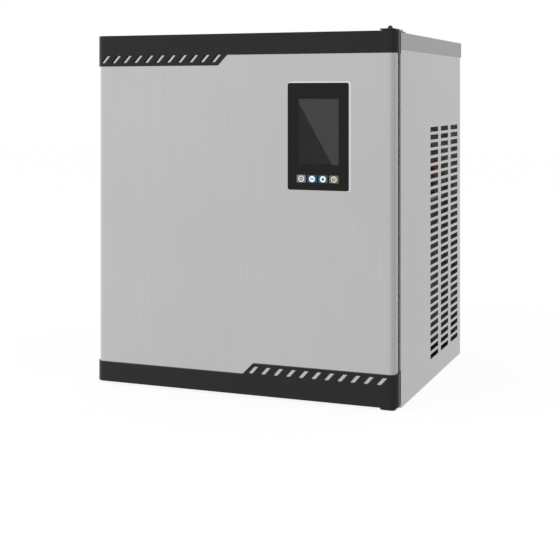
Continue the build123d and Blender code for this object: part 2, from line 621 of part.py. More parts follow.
def fan_shroud():
    """Fan housing on the condenser: a plate with a round orifice and its collar."""
    x = (CONDENSER_X[0] - 4, CONDENSER_X[0])
    plate = block(x, CONDENSER_Y, (BASE_TOP, CONDENSER_Z[1]))
    ring = rod_x((x[0] - 26, x[0]), FAN_Y, FAN_Z, ORIFICE_RADIUS + 3)
    return plate + ring - rod_x((x[0] - 30, x[1] + 1), FAN_Y, FAN_Z, ORIFICE_RADIUS)


def fan_blade():
    """One pitched blade: root and tip sections joined, wider and flatter at the tip."""
    root = Plane.XY.offset(22) * Rot(0, 0, 52) * RectangleRounded(26, 2.4, 1.0)
    tip = Plane.XY.offset(FAN_RADIUS) * Rot(0, 0, 66) * RectangleRounded(52, 2.0, 0.9)
    return loft([root, tip])


def fan():
    """Axial fan: a hub with five pitched blades."""
    hub_x = (204.0, 226.0)
    hub = rod_x(hub_x, FAN_Y, FAN_Z, 28.0)
    centre = Pos((hub_x[0] + hub_x[1]) / 2, FAN_Y, FAN_Z)
    for index in range(5):
        hub += centre * Rot(72 * index, 0, 0) * fan_blade()
    return hub - rod_x((hub_x[0] - 1, 222.0), FAN_Y, FAN_Z, SHAFT_RADIUS + PIN_CLEARANCE)


def fan_motor():
    """Fan motor with its shaft."""
    motor = rod_x((142.0, 190.0), FAN_Y, FAN_Z, MOTOR_RADIUS)
    motor = chamfer(motor.edges().filter_by(GeomType.CIRCLE), 4.0)
    motor += rod_x((190.0, 197.0), FAN_Y, FAN_Z, 12.0)
    return motor + rod_x((197.0, 221.0), FAN_Y, FAN_Z, SHAFT_RADIUS)


def motor_bracket():
    """Folded stand that cradles the fan motor."""
    stand = block((146.0, 186.0), (300.0, 380.0), (BASE_TOP, BASE_TOP + 2.5))
    stand += block((160.0, 172.0), (306.0, 374.0), (BASE_TOP + 2.5, 158.0))
    stand -= block((150.0, 180.0), (322.0, 358.0), (30.0, 110.0))
    return stand - rod_x((140.0, 190.0), FAN_Y, FAN_Z, MOTOR_RADIUS)


def discharge_line():
    """Hot line from the compressor to the top of the condenser."""
    mid = (CONDENSER_X[0] + CONDENSER_X[1]) / 2
    return tube([(-95.0, 330.0, 228.0), (-95.0, 330.0, 360.0), (mid, 250.0, 360.0), (mid, 250.0, 335.0)],
                LINE_RADIUS, 12.0)


def liquid_line():
    """Liquid line in two lengths, from the condenser to the drier and on to the expansion valve."""
    mid = (CONDENSER_X[0] + CONDENSER_X[1]) / 2
    first = tube([(mid, 430.0, 335.0), (mid, 430.0, 375.0), (160.0, 430.0, 375.0)], LINE_RADIUS)
    second = tube([(60.0, 430.0, 375.0), (30.0, 430.0, 375.0), (30.0, 232.0, 375.0),
                   (COIL_EXIT_X, 232.0, 375.0), (COIL_EXIT_X, 232.0, 300.0)], LINE_RADIUS)
    return [first, second]


def filter_drier():
    """Filter drier: a spun copper can with necked ends."""
    half = make_face(Polyline((0, 0), (4.5, 0), (4.5, 8), (14, 20), (14, 80), (4.5, 92), (4.5, 100), (0, 100),
                              close=True))
    can = revolve(Plane.XZ * half, Axis.Z)
    return Pos(60.0, 430.0, 375.0) * Rot(0, 90, 0) * can


def suction_line():
    """Cold return line from the top of the evaporator to the compressor."""
    top = COIL_BOTTOM + (COIL_RUNS - 1) * COIL_PITCH
    return tube([(COIL_EXIT_X, 222.0, top), (COIL_EXIT_X, 246.0, top), (0.0, 246.0, top), (0.0, 246.0, 262.0),
                 (-165.0, 246.0, 262.0), (-165.0, 330.0, 262.0), (-165.0, 330.0, 228.0)], SUCTION_RADIUS)


def expansion_valve():
    """Expansion valve: a brass block with its round diaphragm head."""
    valve = block((COIL_EXIT_X - 11, COIL_EXIT_X + 11), (222.0, 243.0), (COIL_BOTTOM - 12, COIL_BOTTOM + 26))
    valve += rod_z(COIL_EXIT_X, 232.5, (COIL_BOTTOM + 26, COIL_BOTTOM + 38), 6.0)
    return valve + rod_z(COIL_EXIT_X, 232.5, (COIL_BOTTOM - 24, COIL_BOTTOM - 12), 15.0)


HOT_GAS_X = 40.0
HOT_GAS_Y = 330.0 - 80.0 * (HOT_GAS_X + 95.0) / (243.0 + 95.0)


def hot_gas_valve():
    """Solenoid valve of the harvest circuit: a body with its coil beside it."""
    valve = rod_z(HOT_GAS_X, HOT_GAS_Y, (296.0, 326.0), 10.0)
    valve += rod_y(HOT_GAS_X, (HOT_GAS_Y, HOT_GAS_Y + 18), 311.0, 8.0)
    return valve + block((HOT_GAS_X - 15, HOT_GAS_X + 15), (HOT_GAS_Y + 18, HOT_GAS_Y + 52), (296.0, 326.0))


def hot_gas_line():
    """Harvest line in two lengths, from the discharge line through the valve to the evaporator."""
    upper = tube([(HOT_GAS_X, HOT_GAS_Y, 326.0), (HOT_GAS_X, HOT_GAS_Y, 360.0)], LINE_RADIUS - 0.5)
    upper -= tube([(-95.0, 330.0, 360.0), (243.0, 250.0, 360.0)], LINE_RADIUS)
    upper = upper.solids().sort_by(Axis.Z)[0]
    lower = tube([(HOT_GAS_X, HOT_GAS_Y, 296.0), (HOT_GAS_X, HOT_GAS_Y, 265.0), (HOT_GAS_X, 232.0, 265.0),
                  (COIL_EXIT_X - 11, 232.0, 265.0)], LINE_RADIUS - 0.5)
    return [upper, lower]


def control_box():
    """Electrical box on the back panel and its flat lid."""
    box = block((-262.0, -70.0), (336.0, BASE_REAR), (420.0, 590.0))
    box -= block((-260.5, -71.5), (335.0, BASE_REAR - 1.5), (421.5, 588.5))
    return [box, block((-266.0, -66.0), (334.5, 336.0), (416.0, 594.0))]


def water_inlet_valve():
    """Water inlet valve: a body inside the back panel and a threaded spigot outside it."""
    x, z = INLET
    valve = block((x - 18, x + 18), (438.0, BASE_REAR), (z - 16, z + 16))
    valve += block((x - 15, x + 15), (440.0, 466.0), (z + 16, z + 46))
    valve += rod_y(x, (BASE_REAR, PANEL_REAR_Y), z, 13.9) + rod_y(x, (PANEL_REAR_Y, TOTAL_DEPTH), z, 13.2)
    return valve - rod_y(x, (480.0, TOTAL_DEPTH + 1), z, 8.0)


def fill_tube():
    """Tube from the inlet valve through the divider down into the trough."""
    x, z = INLET
    return tube([(x, 438.0, z), (x, WATER_Y, z), (x, WATER_Y, TROUGH_TOP - 12)], 4.5, 20.0)


def drain_tube():
    """Drain hose from the trough to the fitting on the back panel."""
    x, z = DRAIN
    return tube([(-185.0, WATER_Y, TROUGH_BOTTOM - 6), (-185.0, WATER_Y, z), (x, WATER_Y, z), (x, BASE_REAR - 6, z)],
                8.0, 14.0)


def drain_fitting():
    """Drain bulkhead fitting: an inner collar and a hose spigot behind the cabinet."""
    x, z = DRAIN
    fitting = rod_y(x, (BASE_REAR - 6, BASE_REAR), z, 14.0) + rod_y(x, (BASE_REAR, PANEL_REAR_Y), z, 10.9)
    fitting += rod_y(x, (PANEL_REAR_Y, PANEL_REAR_Y + 3), z, 14.0) + rod_y(x, (PANEL_REAR_Y + 3, TOTAL_DEPTH), z, 9.5)
    return fitting - rod_y(x, (480.0, TOTAL_DEPTH + 1), z, 7.5)


def power_gland():
    """Cable gland for the mains lead: an inner nut, an outer hexagon and an open dome."""
    x, z = GLAND
    hexagon = Plane.XZ.offset(-PANEL_REAR_Y - 7) * Pos(x, z) * RegularPolygon(14.0, 6)
    gland = extrude(hexagon, amount=7) + rod_y(x, (BASE_REAR, PANEL_REAR_Y), z, 9.9)
    gland += rod_y(x, (BASE_REAR - 5, BASE_REAR), z, 13.0) + rod_y(x, (PANEL_REAR_Y + 7, 495.0), z, 9.5)
    return gland - rod_y(x, (BASE_REAR - 10, 500.0), z, 4.5)


def upper_hinge_plate():
    """Cranked hinge plate bolted on the cover and reaching over the door, with its pin."""
    low, high = COVER_TOP, TRIM_TOP + 1.1
    side = [(PIN_Y - 12, high), (34.6, high), (38.0, low), (72.0, low), (72.0, low + 2.5),
            (39.2, low + 2.5), (35.8, high + 2.5), (PIN_Y - 12, high + 2.5)]
    face = make_face(Polyline(*[(PLATE_X[0], y, z) for y, z in side], close=True))
    plate = extrude(face, amount=PLATE_X[1] - PLATE_X[0], dir=(1, 0, 0))
    plate = fillet(plate.edges().filter_by(Axis.Z).sort_by(Axis.Y)[:2], 6.0)
    plate -= [rod_z(x, 58.0, (610, 640), 2.55) for x in (254.0, 270.0)]
    return plate + rod_z(PIN_X, PIN_Y, (DOOR_Z[1] - 14, high), PIN_RADIUS)


def lower_hinge_plate():
    """Flat hinge plate under the pan with the pin that the door stands on."""
    plate = block(PLATE_X, (PIN_Y - 12, 72.0), (0.4, BASE_BOTTOM))
    plate = fillet(plate.edges().filter_by(Axis.Z).sort_by(Axis.Y)[:2], 6.0)
    plate -= [rod_z(x, 58.0, (0, 10), 2.55) for x in (254.0, 270.0)]
    return plate + rod_z(PIN_X, PIN_Y, (BASE_BOTTOM, DOOR_Z[0] + 14), PIN_RADIUS)


def hinge_cap():
    """Domed cap on the upper hinge pin."""
    radius, height = CAP_RADIUS, CAP_HEIGHT
    half = make_face(Polyline((0, 0), (radius, 0), (radius, 0.45 * height), (0.85 * radius, 0.72 * height),
                              (0.5 * radius, 0.92 * height), (0, height), close=True))
    return Pos(PIN_X, PIN_Y, TRIM_TOP + 3.6) * revolve(Plane.XZ * half, Axis.Z)


def hinge_bolts():
    """Bolts of both hinge plates, heads above and nuts in the pan below."""
    bolts = []
    for x in (254.0, 270.0):
        bolts.append(rod_z(x, 58.0, (612.0, COVER_TOP + 2.5), 2.5)
                     + rod_z(x, 58.0, (COVER_TOP + 2.5, COVER_TOP + 5.8), 4.6))
        bolts.append(rod_z(x, 58.0, (0.4, BASE_TOP), 2.5) + rod_z(x, 58.0, (BASE_TOP, BASE_TOP + 4), 4.6))
    return bolts


def back_screws():
    """Pan-head screws that hold the back panel and the rear flange of the cover."""
    places = [(x, PANEL_REAR_Y, z) for x in (-268.0, 268.0) for z in (30.0, 200.0, 380.0, 560.0)]
    places += [(x, COVER_REAR, 606.0) for x in (-200.0, 0.0, 200.0)]
    return [rod_y(x, (y, y + 2.2), z, 4.0) for x, y, z in places]


PIECES = {
    "door_skin": door_skin(),
    "door_top_trim": door_top_trim(),
    "door_bottom_trim": door_bottom_trim(),
    "door_foam": door_foam(),
    "door_liner": door_liner(),
    "door_gasket": door_gasket(),
    "hinge_bushes": hinge_bushes(),
    "control_bezel": control_bezel(),
    "display_window": display_window(),
    "display_module": display_module(),
    "control_board": control_board(),
    "base_pan": base_pan(),
    "bin_seal": bin_seal(),
    "right_side_panel": side_panel(SIDE_INNER),
    "left_side_panel": side_panel(-SIDE_OUTER),
    "back_panel": back_panel(),
    "top_cover": top_cover(),
    "front_frame": front_frame(),
    "compartment_liner": compartment_liner(),
    "divider_wall": divider_wall(),
    "evaporator_plate": evaporator_plate(),
    "evaporator_frame": evaporator_frame(),
    "evaporator_coil": evaporator_coil(),
    "water_distributor": water_distributor(),
    "water_trough": water_trough(),
    "water_pump": water_pump(),
    "pump_hose": pump_hose(),
    "float_stem": float_stem(),
    "float_ring": float_ring(),
    "curtain_brackets": curtain_brackets(),
    "splash_curtain": curtain(),
    "compressor": compressor(),
    "compressor_grommets": compressor_grommets(),
    "condenser_coil": condenser_coil(),
    "fan_shroud": fan_shroud(),
    "fan": fan(),
    "fan_motor": fan_motor(),
    "motor_bracket": motor_bracket(),
    "discharge_line": discharge_line(),
    "liquid_line": liquid_line(),
    "filter_drier": filter_drier(),
    "suction_line": suction_line(),
    "expansion_valve": expansion_valve(),
    "hot_gas_valve": hot_gas_valve(),
    "hot_gas_line": hot_gas_line(),
    "control_box": control_box(),
    "water_inlet_valve": water_inlet_valve(),
    "fill_tube": fill_tube(),
    "drain_tube": drain_tube(),
    "drain_fitting": drain_fitting(),
    "power_gland": power_gland(),
    "upper_hinge_plate": upper_hinge_plate(),
    "lower_hinge_plate": lower_hinge_plate(),
    "hinge_cap": hinge_cap(),
    "hinge_bolts": hinge_bolts(),
    "back_screws": back_screws(),
}
for name, x in zip(KEY_NAMES, KEY_CENTRES):
    PIECES[name] = key(x)


def to_footprint_middle(piece):
    """Moves a piece, or a group of like pieces, into the frame that the parts are written in."""
    move = Pos(0, -TOTAL_DEPTH / 2, 0)
    if isinstance(piece, list):
        return Compound(children=[move * Part(item.wrapped) for item in piece])
    return move * piece


os.makedirs("parts", exist_ok=True)
for node, piece in PIECES.items():
    export_step(to_footprint_middle(piece), f"parts/{node}.step")
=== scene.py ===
"""Looks of a cube ice machine head: steel cabinet, hinged door, control panel and ice-making parts.

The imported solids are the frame. The pieces made here are worked out with numpy as grids of points
in millimetres, measured from the plane of the door's front, the ground and the middle of the width.
"""

from __future__ import annotations

import logging
import math
from dataclasses import dataclass, field
from enum import Enum

import bmesh
import bpy
import numpy as np
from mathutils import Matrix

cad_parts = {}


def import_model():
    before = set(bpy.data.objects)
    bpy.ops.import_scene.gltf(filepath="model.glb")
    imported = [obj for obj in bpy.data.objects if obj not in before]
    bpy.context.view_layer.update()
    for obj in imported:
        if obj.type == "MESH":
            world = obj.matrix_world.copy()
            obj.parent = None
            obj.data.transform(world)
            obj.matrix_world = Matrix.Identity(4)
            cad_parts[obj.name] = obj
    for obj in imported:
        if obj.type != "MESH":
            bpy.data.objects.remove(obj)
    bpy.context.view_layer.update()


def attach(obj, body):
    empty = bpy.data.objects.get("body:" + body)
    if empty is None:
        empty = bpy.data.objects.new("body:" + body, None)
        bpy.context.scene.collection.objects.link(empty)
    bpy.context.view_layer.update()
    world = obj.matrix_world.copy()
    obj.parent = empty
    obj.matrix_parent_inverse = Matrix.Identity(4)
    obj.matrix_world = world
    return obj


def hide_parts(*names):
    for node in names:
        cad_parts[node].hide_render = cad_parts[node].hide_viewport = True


LOG = logging.getLogger("ice_machine")

MM = 0.001
DOOR_FACE_Y = -250.0


# Finishes


class Pattern(Enum):
    """What carries a finish's variation over the surface."""

    GRAIN = "noise, stretched along the way the surface was worked"
    SPANGLE = "flat-toned crystals of hot-dip zinc"
    BUBBLES = "round cells of a foam"


def srgb(code: str) -> tuple[float, float, float, float]:
    """Turn an sRGB hex colour to linear.

    Each channel c is c / 12.92 below 0.04045 and ((c + 0.055) / 1.055) ** 2.4 above it.

    Args:
        code: Six hex digits after a hash.

    Returns:
        Linear red, green and blue, and an alpha of 1.
    """
    values = [int(code[i : i + 2], 16) / 255.0 for i in (1, 3, 5)]
    linear = [v / 12.92 if v <= 0.04045 else ((v + 0.055) / 1.055) ** 2.4 for v in values]
    return (linear[0], linear[1], linear[2], 1.0)


def add_node(tree: bpy.types.NodeTree, kind: str, settings: dict | None = None,
             links: dict | None = None, **options: object) -> bpy.types.Node:
    """Add one node with its options, socket values and incoming links.

    Args:
        tree: The node tree that takes the node.
        kind: The node's type name.
        settings: Socket name or number to value.
        links: Socket name or number to a (node, output) pair.
        **options: Attributes of the node itself.

    Returns:
        The new node.
    """
    node = tree.nodes.new(kind)
    for key, value in options.items():
        setattr(node, key, value)
    for key, value in (settings or {}).items():
        node.inputs[key].default_value = value
    for key, (source, output) in (links or {}).items():
        tree.links.new(source.outputs[output], node.inputs[key])
    return node


@dataclass(frozen=True)
class Finish:
    """One real material and the way its surface was made.

    The colour runs from tone to shade with a fine pattern of the size given along X, Y and Z in
    millimetres and a broad one of clouds. Roughness follows the fine pattern, and so does relief.
    """

    name: str
    tone: str
    shade: str
    rough: float
    rough_spread: float = 0.04
    metal: float = 0.0
    size: tuple[float, float, float] = (2.0, 2.0, 2.0)
    clouds: float = 120.0
    cloud_share: float = 0.5
    relief: float = 0.02
    pattern: Pattern = Pattern.GRAIN
    sockets: tuple[tuple[str, object], ...] = ()

    def make(self) -> bpy.types.Material:
        """Return the node material, made once and then reused."""
        known = bpy.data.materials.get(self.name)
        if known is not None and known.get("ice_machine_finish"):
            return known
        material = bpy.data.materials.new(self.name)
        material["ice_machine_finish"] = True
        material.use_nodes = True
        tree = material.node_tree
        tree.nodes.clear()
        place = add_node(tree, "ShaderNodeTexCoord")
        scale = tuple(1000.0 / step for step in self.size)
        worked = add_node(tree, "ShaderNodeMapping", {"Scale": scale}, {"Vector": (place, "Object")})
        if self.pattern is Pattern.GRAIN:
            fine = add_node(tree, "ShaderNodeTexNoise", {"Scale": 1.0, "Detail": 3.0, "Roughness": 0.6},
                            {"Vector": (worked, "Vector")})
            value = (fine, 0)
        elif self.pattern is Pattern.SPANGLE:
            fine = add_node(tree, "ShaderNodeTexVoronoi", {"Scale": 1.0, "Randomness": 1.0},
                            {"Vector": (worked, "Vector")})
            value = (add_node(tree, "ShaderNodeRGBToBW", links={"Color": (fine, "Color")}), 0)
        else:
            fine = add_node(tree, "ShaderNodeTexVoronoi", {"Scale": 1.0}, {"Vector": (worked, "Vector")})
            value = (fine, "Distance")
        cloud = add_node(tree, "ShaderNodeTexNoise", {"Scale": 1000.0 / self.clouds, "Detail": 2.0},
                         {"Vector": (place, "Object")})
        both = add_node(tree, "ShaderNodeMix", {"Factor": self.cloud_share}, {"A": value, "B": (cloud, 0)},
                        data_type="FLOAT")
        colours = add_node(tree, "ShaderNodeValToRGB", links={"Fac": (both, 0)})
        colours.color_ramp.elements[0].position = 0.3
        colours.color_ramp.elements[0].color = srgb(self.shade)
        colours.color_ramp.elements[1].position = 0.7
        colours.color_ramp.elements[1].color = srgb(self.tone)
        limits = {"From Min": 0.25, "From Max": 0.75, "To Min": self.rough - self.rough_spread,
                  "To Max": self.rough + self.rough_spread}
        sheen = add_node(tree, "ShaderNodeMapRange", limits, {"Value": (both, 0)})
        bump = add_node(tree, "ShaderNodeBump", {"Strength": 1.0, "Distance": self.relief * MM},
                        {"Height": value})
        shader = add_node(tree, "ShaderNodeBsdfPrincipled", {"Metallic": self.metal, **dict(self.sockets)},
                          {"Base Color": (colours, "Color"), "Roughness": (sheen, 0), "Normal": (bump, 0)})
        add_node(tree, "ShaderNodeOutputMaterial", links={"Surface": (shader, 0)})
        return material


# Door steel: 430 stainless, brushed upright and satin. The brush lines are drawn 0.6 mm apart, coarser
# than the real 0.1 mm, so that they show; they spread a reflection sideways and leave it long upright.
DOOR_STEEL = Finish("stainless_430_brushed_upright", "#CCCCCC", "#C4C4C4", 0.22, 0.03, 1.0,
                    (0.6, 0.6, 90.0), 260.0, 0.35, 0.003)
# Cabinet steel: plain cold-rolled stainless with a dull 2B mill surface. Softer reflections than the door.
CABINET_STEEL = Finish("stainless_2b_mill", "#CECECE", "#C6C6C6", 0.27, 0.03, 1.0,
                       (1.2, 30.0, 1.2), 220.0, 0.5, 0.003)
# Lid steel: a copy of the sides' 2B sheet painted a shade darker, as painted shade on the lid, and duller.
LID_STEEL_PAINTED_SHADE = Finish("stainless_2b_mill_lid_painted_shade", "#B3B3B3", "#ABABAB", 0.38, 0.03, 1.0,
                   (1.2, 30.0, 1.2), 180.0, 0.5, 0.003)
# Frame steel: the same sheet with a finer satin, wiped by hands and cloths round the opening.
FRAME_STEEL = Finish("stainless_satin_wiped", "#C4C5C5", "#B2B4B4", 0.32, 0.06, 1.0,
                     (24.0, 1.2, 1.2), 90.0, 0.5, 0.004)
# Trim plastic: black ABS from a spark-eroded mould. The 1.2 mm texture breaks up the gloss.
TRIM_ABS = Finish("abs_black_fine_texture", "#080809", "#060607", 0.28, 0.04, 0.0,
                  (1.2, 1.2, 1.2), 180.0, 0.4, 0.012, sockets=(("Specular IOR Level", 0.4),))
# Panel plastic: piano-black ABS, polished mould. It only shows what it reflects, with faint wiping marks.
PANEL_ABS = Finish("abs_black_polished", "#0B0B0B", "#090909", 0.16, 0.04, 0.0,
                   (9.0, 9.0, 9.0), 60.0, 0.6, 0.004, sockets=(("Specular IOR Level", 0.24),))
# Rim: silver lacquer on ABS, fine flake.
RIM_SILVER = Finish("abs_silver_lacquer", "#DADADA", "#CFCFCF", 0.35, 0.05, 0.35,
                    (0.8, 0.8, 0.8), 40.0, 0.3, 0.004)
# Window: smoked acrylic with a hard coat. Lets most light through to the film and keeps a sharp reflection.
WINDOW_ACRYLIC = Finish("acrylic_smoked", "#2E2E2F", "#2A2A2B", 0.07, 0.02, 0.0,
                        (30.0, 30.0, 30.0), 80.0, 0.5, 0.001, sockets=(("Alpha", 0.3), ("IOR", 1.49)))
# Display: the grey film of a display that is switched off, very even.
DISPLAY_FILM = Finish("display_film_off", "#585859", "#555556", 0.6, 0.03, 0.0,
                      (0.7, 0.7, 0.7), 60.0, 0.5, 0.002)
# Keys: gloss ABS moulded in colour, with a little wear in the gloss.
KEY_GREY = Finish("abs_key_grey", "#6E7175", "#63666A", 0.3, 0.06, 0.0, (1.5, 1.5, 1.5), 8.0, 0.5, 0.006)
KEY_BLUE = Finish("abs_key_blue", "#1F4C78", "#17395E", 0.3, 0.06, 0.0, (1.5, 1.5, 1.5), 8.0, 0.5, 0.006)
KEY_TEAL = Finish("abs_key_teal", "#14585C", "#0F4447", 0.3, 0.06, 0.0, (1.5, 1.5, 1.5), 8.0, 0.5, 0.006)
KEY_OLIVE = Finish("abs_key_olive", "#6D6C4A", "#56553A", 0.3, 0.06, 0.0, (1.5, 1.5, 1.5), 8.0, 0.5, 0.006)
# Signs: white ink, screen-printed thick. Matt, with a slightly uneven cover.
SIGN_WHITE = Finish("screen_ink_white", "#EFF2F3", "#DFE4E6", 0.55, 0.05, 0.0,
                    (0.5, 0.5, 0.5), 5.0, 0.4, 0.004)
SIGN_DARK = Finish("screen_ink_dark", "#16222C", "#101820", 0.5, 0.05, 0.0, (0.5, 0.5, 0.5), 5.0, 0.4, 0.004)
# Board: glass-fibre laminate under green solder mask, with copper fields showing as lighter bands.
BOARD_LAMINATE = Finish("solder_mask_green", "#1D6B3A", "#124A27", 0.28, 0.06, 0.0,
                        (1.6, 1.6, 7.0), 14.0, 0.35, 0.02)
# Door foam: cream polyurethane, cut cells about 1 mm wide.
POLYURETHANE = Finish("polyurethane_foam_cream", "#DCCB97", "#B9A56C", 0.85, 0.05, 0.0,
                      (1.4, 1.4, 1.4), 50.0, 0.4, 0.5, Pattern.BUBBLES)
# Liner: vacuum-formed white polystyrene, semi-gloss, with the soft unevenness of forming.
LINER_STYRENE = Finish("polystyrene_formed_white", "#EBEDED", "#DDE0E0", 0.3, 0.06, 0.0,
                       (14.0, 14.0, 14.0), 150.0, 0.5, 0.05, sockets=(("Coat Weight", 0.15),))
# Seal: plasticised vinyl over a magnet strip, dull with a faint bloom.
SEAL_VINYL = Finish("vinyl_seal_dark", "#2B2B2D", "#1E1E20", 0.55, 0.08, 0.0,
                    (3.0, 3.0, 3.0), 60.0, 0.5, 0.02)
# Mount rubber and bin strip: closed-cell EPDM foam, matt with 1 mm pores.
EPDM_FOAM = Finish("epdm_foam_black", "#232323", "#151515", 0.9, 0.05, 0.0,
                   (1.2, 1.2, 1.2), 30.0, 0.3, 0.3, Pattern.BUBBLES)
# Zinc-dipped sheet: spangles about 9 mm across, each with its own brightness.
ZINC_SHEET = Finish("steel_hot_dip_zinc", "#C2C6C9", "#9AA0A4", 0.38, 0.1, 1.0,
                    (9.0, 9.0, 9.0), 160.0, 0.3, 0.004, Pattern.SPANGLE)
# Black steel: powder coat with orange peel about 1.5 mm across.
POWDER_BLACK = Finish("powder_coat_black", "#1B1B1C", "#131314", 0.4, 0.06, 0.0,
                      (1.5, 1.5, 1.5), 60.0, 0.4, 0.06)
# Freezing plate: electroless nickel on copper, warm and bright with water stains.
NICKEL = Finish("nickel_electroless", "#D8D4C9", "#B9B3A4", 0.24, 0.1, 1.0,
                (6.0, 6.0, 6.0), 45.0, 0.6, 0.01)
# Surround, trough and channel: grey polypropylene, matt with slight flow marks and lime haze.
GREY_PP = Finish("polypropylene_grey", "#818A8F", "#727B80", 0.45, 0.08, 0.0,
                 (5.0, 5.0, 16.0), 70.0, 0.5, 0.04)
# Curtain: milky clear polycarbonate that lets light through and blurs what is behind.
CURTAIN_PC = Finish("polycarbonate_frosted", "#E4EEF1", "#D3E0E4", 0.3, 0.08, 0.0,
                    (4.0, 4.0, 4.0), 80.0, 0.5, 0.03, sockets=(("Alpha", 0.5), ("IOR", 1.58)))
# Refrigerant tubes: drawn copper, gone brown in clouds from handling and brazing heat.
COPPER = Finish("copper_drawn_tarnished", "#C97B52", "#8A4B31", 0.32, 0.1, 1.0,
                (3.0, 3.0, 3.0), 40.0, 0.7, 0.02)
# Valves: turned brass with fine lathe lines.
BRASS = Finish("brass_turned", "#C9A650", "#A58338", 0.28, 0.06, 1.0, (8.0, 8.0, 0.5), 20.0, 0.4, 0.01)
# Condenser: pressed aluminium fins greyed by dust, with lighter bands every few millimetres painted as
# highlights on lit fin edges.
FIN_ALUMINIUM_DUST_AND_EDGE_HIGHLIGHT = Finish("aluminium_fins_dust_and_painted_edge_highlight", "#B9BCBE", "#8B8E90", 0.42, 0.08, 1.0,
                       (40.0, 3.0, 60.0), 50.0, 0.4, 0.08)
# Hoses: white silicone, slightly translucent and soft to the light.
SILICONE = Finish("silicone_white", "#E6E6E1", "#D6D6CF", 0.42, 0.05, 0.0, (6.0, 6.0, 6.0), 50.0, 0.5, 0.03,
                  sockets=(("Subsurface Weight", 0.15), ("Subsurface Scale", 0.003)))
# Pump: blue glass-filled nylon, matt with fibre streaks.
BLUE_NYLON = Finish("nylon_blue_filled", "#234B80", "#1A3960", 0.48, 0.06, 0.0,
                    (1.0, 1.0, 6.0), 30.0, 0.4, 0.05)
# Fan and gland: black glass-filled nylon.
BLACK_NYLON = Finish("nylon_black_filled", "#202124", "#161719", 0.5, 0.06, 0.0,
                     (1.0, 5.0, 1.0), 30.0, 0.4, 0.05)
# Fasteners: bright zinc plate with a bluish cast.
ZINC_PLATE = Finish("steel_zinc_plated", "#C9CCD0", "#AEB2B8", 0.28, 0.08, 1.0,
                    (0.8, 0.8, 0.8), 6.0, 0.5, 0.01)


# Grids and meshes


def joined_grid(rows: int, columns: int, first: int, ring: bool = False) -> np.ndarray:
    """Number the quads of a grid of points.

    Quad (i, j) joins points (i, j), (i, j + 1), (i + 1, j + 1) and (i + 1, j); on a ring the last
    column joins the first.

    Args:
        rows: Points down the grid.
        columns: Points across it.
        first: Number of the grid's first point.
        ring: Whether the columns close on themselves.

    Returns:
        An array of rows - 1 by columns (or columns - 1) by 4 point numbers.
    """
    index = first + np.arange(rows * columns).reshape(rows, columns)
    if ring:
        index = np.concatenate([index, index[:, :1]], axis=1)
    corners = (index[:-1, :-1], index[:-1, 1:], index[1:, 1:], index[1:, :-1])
    return np.stack(corners, axis=-1)


@dataclass
class Patchwork:
    """Gathers grids of points, in millimetres, into one mesh."""

    points: list[np.ndarray] = field(default_factory=list)
    quads: list[np.ndarray] = field(default_factory=list)
    count: int = 0

    def add(self, grid: np.ndarray, ring: bool = False, keep: np.ndarray | None = None) -> "Patchwork":
        """Add one grid.

        Args:
            grid: Points as rows by columns by 3.
            ring: Whether the columns close on themselves.
            keep: Which quads stay, or None for all.

        Returns:
            The same patchwork, so that calls can follow each other.
        """
        rows, columns = grid.shape[:2]
        quads = joined_grid(rows, columns, self.count, ring)
        self.quads.append(quads[keep] if keep is not None else quads.reshape(-1, 4))
        self.points.append(grid.reshape(-1, 3))
        self.count += rows * columns
        return self

    def build(self, name: str, finish: Finish, body: str, slot: str, facing: tuple | None = None,
              wall: float = 0.0, edge: float = 0.0) -> bpy.types.Object:
        """Make the object: doubles merged, faces outwards, in metres and at its place.

        Args:
            name: The piece's name.
            finish: Its finish.
            body: The moving body that it rides on.
            slot: The record's material slot; not used.
            facing: For an open sheet, the way that its faces look; None for a closed shape.
            wall: Thickness given to a sheet, behind its faces.
            edge: Radius of a bevel on sharp edges.

        Returns:
            The finished piece.
        """
        mesh = bpy.data.meshes.new(name)
        points = (np.concatenate(self.points) + (0.0, DOOR_FACE_Y, 0.0)) * MM
        mesh.from_pydata(points.tolist(), [], np.concatenate(self.quads).tolist())
        work = bmesh.new()
        work.from_mesh(mesh)
        bmesh.ops.remove_doubles(work, verts=work.verts, dist=2e-6)
        bmesh.ops.dissolve_degenerate(work, edges=work.edges, dist=1e-6)
        bmesh.ops.recalc_face_normals(work, faces=work.faces)
        if facing is not None:
            lean = sum(np.dot(face.normal, facing) * face.calc_area() for face in work.faces)
            if lean < 0:
                bmesh.ops.reverse_faces(work, faces=work.faces)
        # Sharp where a sheet ends too, or its cut edge would bend the shading of its face.
        for line in work.edges:
            line.smooth = len(line.link_faces) == 2 and line.calc_face_angle() < math.radians(35.0)
        work.to_mesh(mesh)
        work.free()
        mesh.polygons.foreach_set("use_smooth", np.ones(len(mesh.polygons), dtype=bool))
        return dress_new(bpy.data.objects.new(name, mesh), finish, body, wall, edge)


def dress_new(piece: bpy.types.Object, finish: Finish, body: str, wall: float = 0.0,
              edge: float = 0.0) -> bpy.types.Object:
    """Put a new piece in the scene with its wall, edge radius, finish and body.

    Args:
        piece: The new object, at the origin.
        finish: Its finish.
        body: The moving body that it rides on.
        wall: Thickness of a sheet in millimetres, or 0.
        edge: Radius on sharp edges in millimetres, or 0.

    Returns:
        The same piece.
    """
    bpy.context.scene.collection.objects.link(piece)
    if wall:
        sheet = piece.modifiers.new("wall", "SOLIDIFY")
        sheet.thickness, sheet.offset = wall * MM, -1.0
        sheet.use_even_offset = True
    if edge:
        radius = piece.modifiers.new("edge_radius", "BEVEL")
        radius.width, radius.segments = edge * MM, 2
        radius.limit_method, radius.angle_limit = "ANGLE", math.radians(40.0)
        radius.use_clamp_overlap, radius.harden_normals = False, True
    piece.data.materials.append(finish.make())
    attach(piece, body)
    LOG.info("%s: %d faces on %s", piece.name, len(piece.data.polygons), body)
    return piece


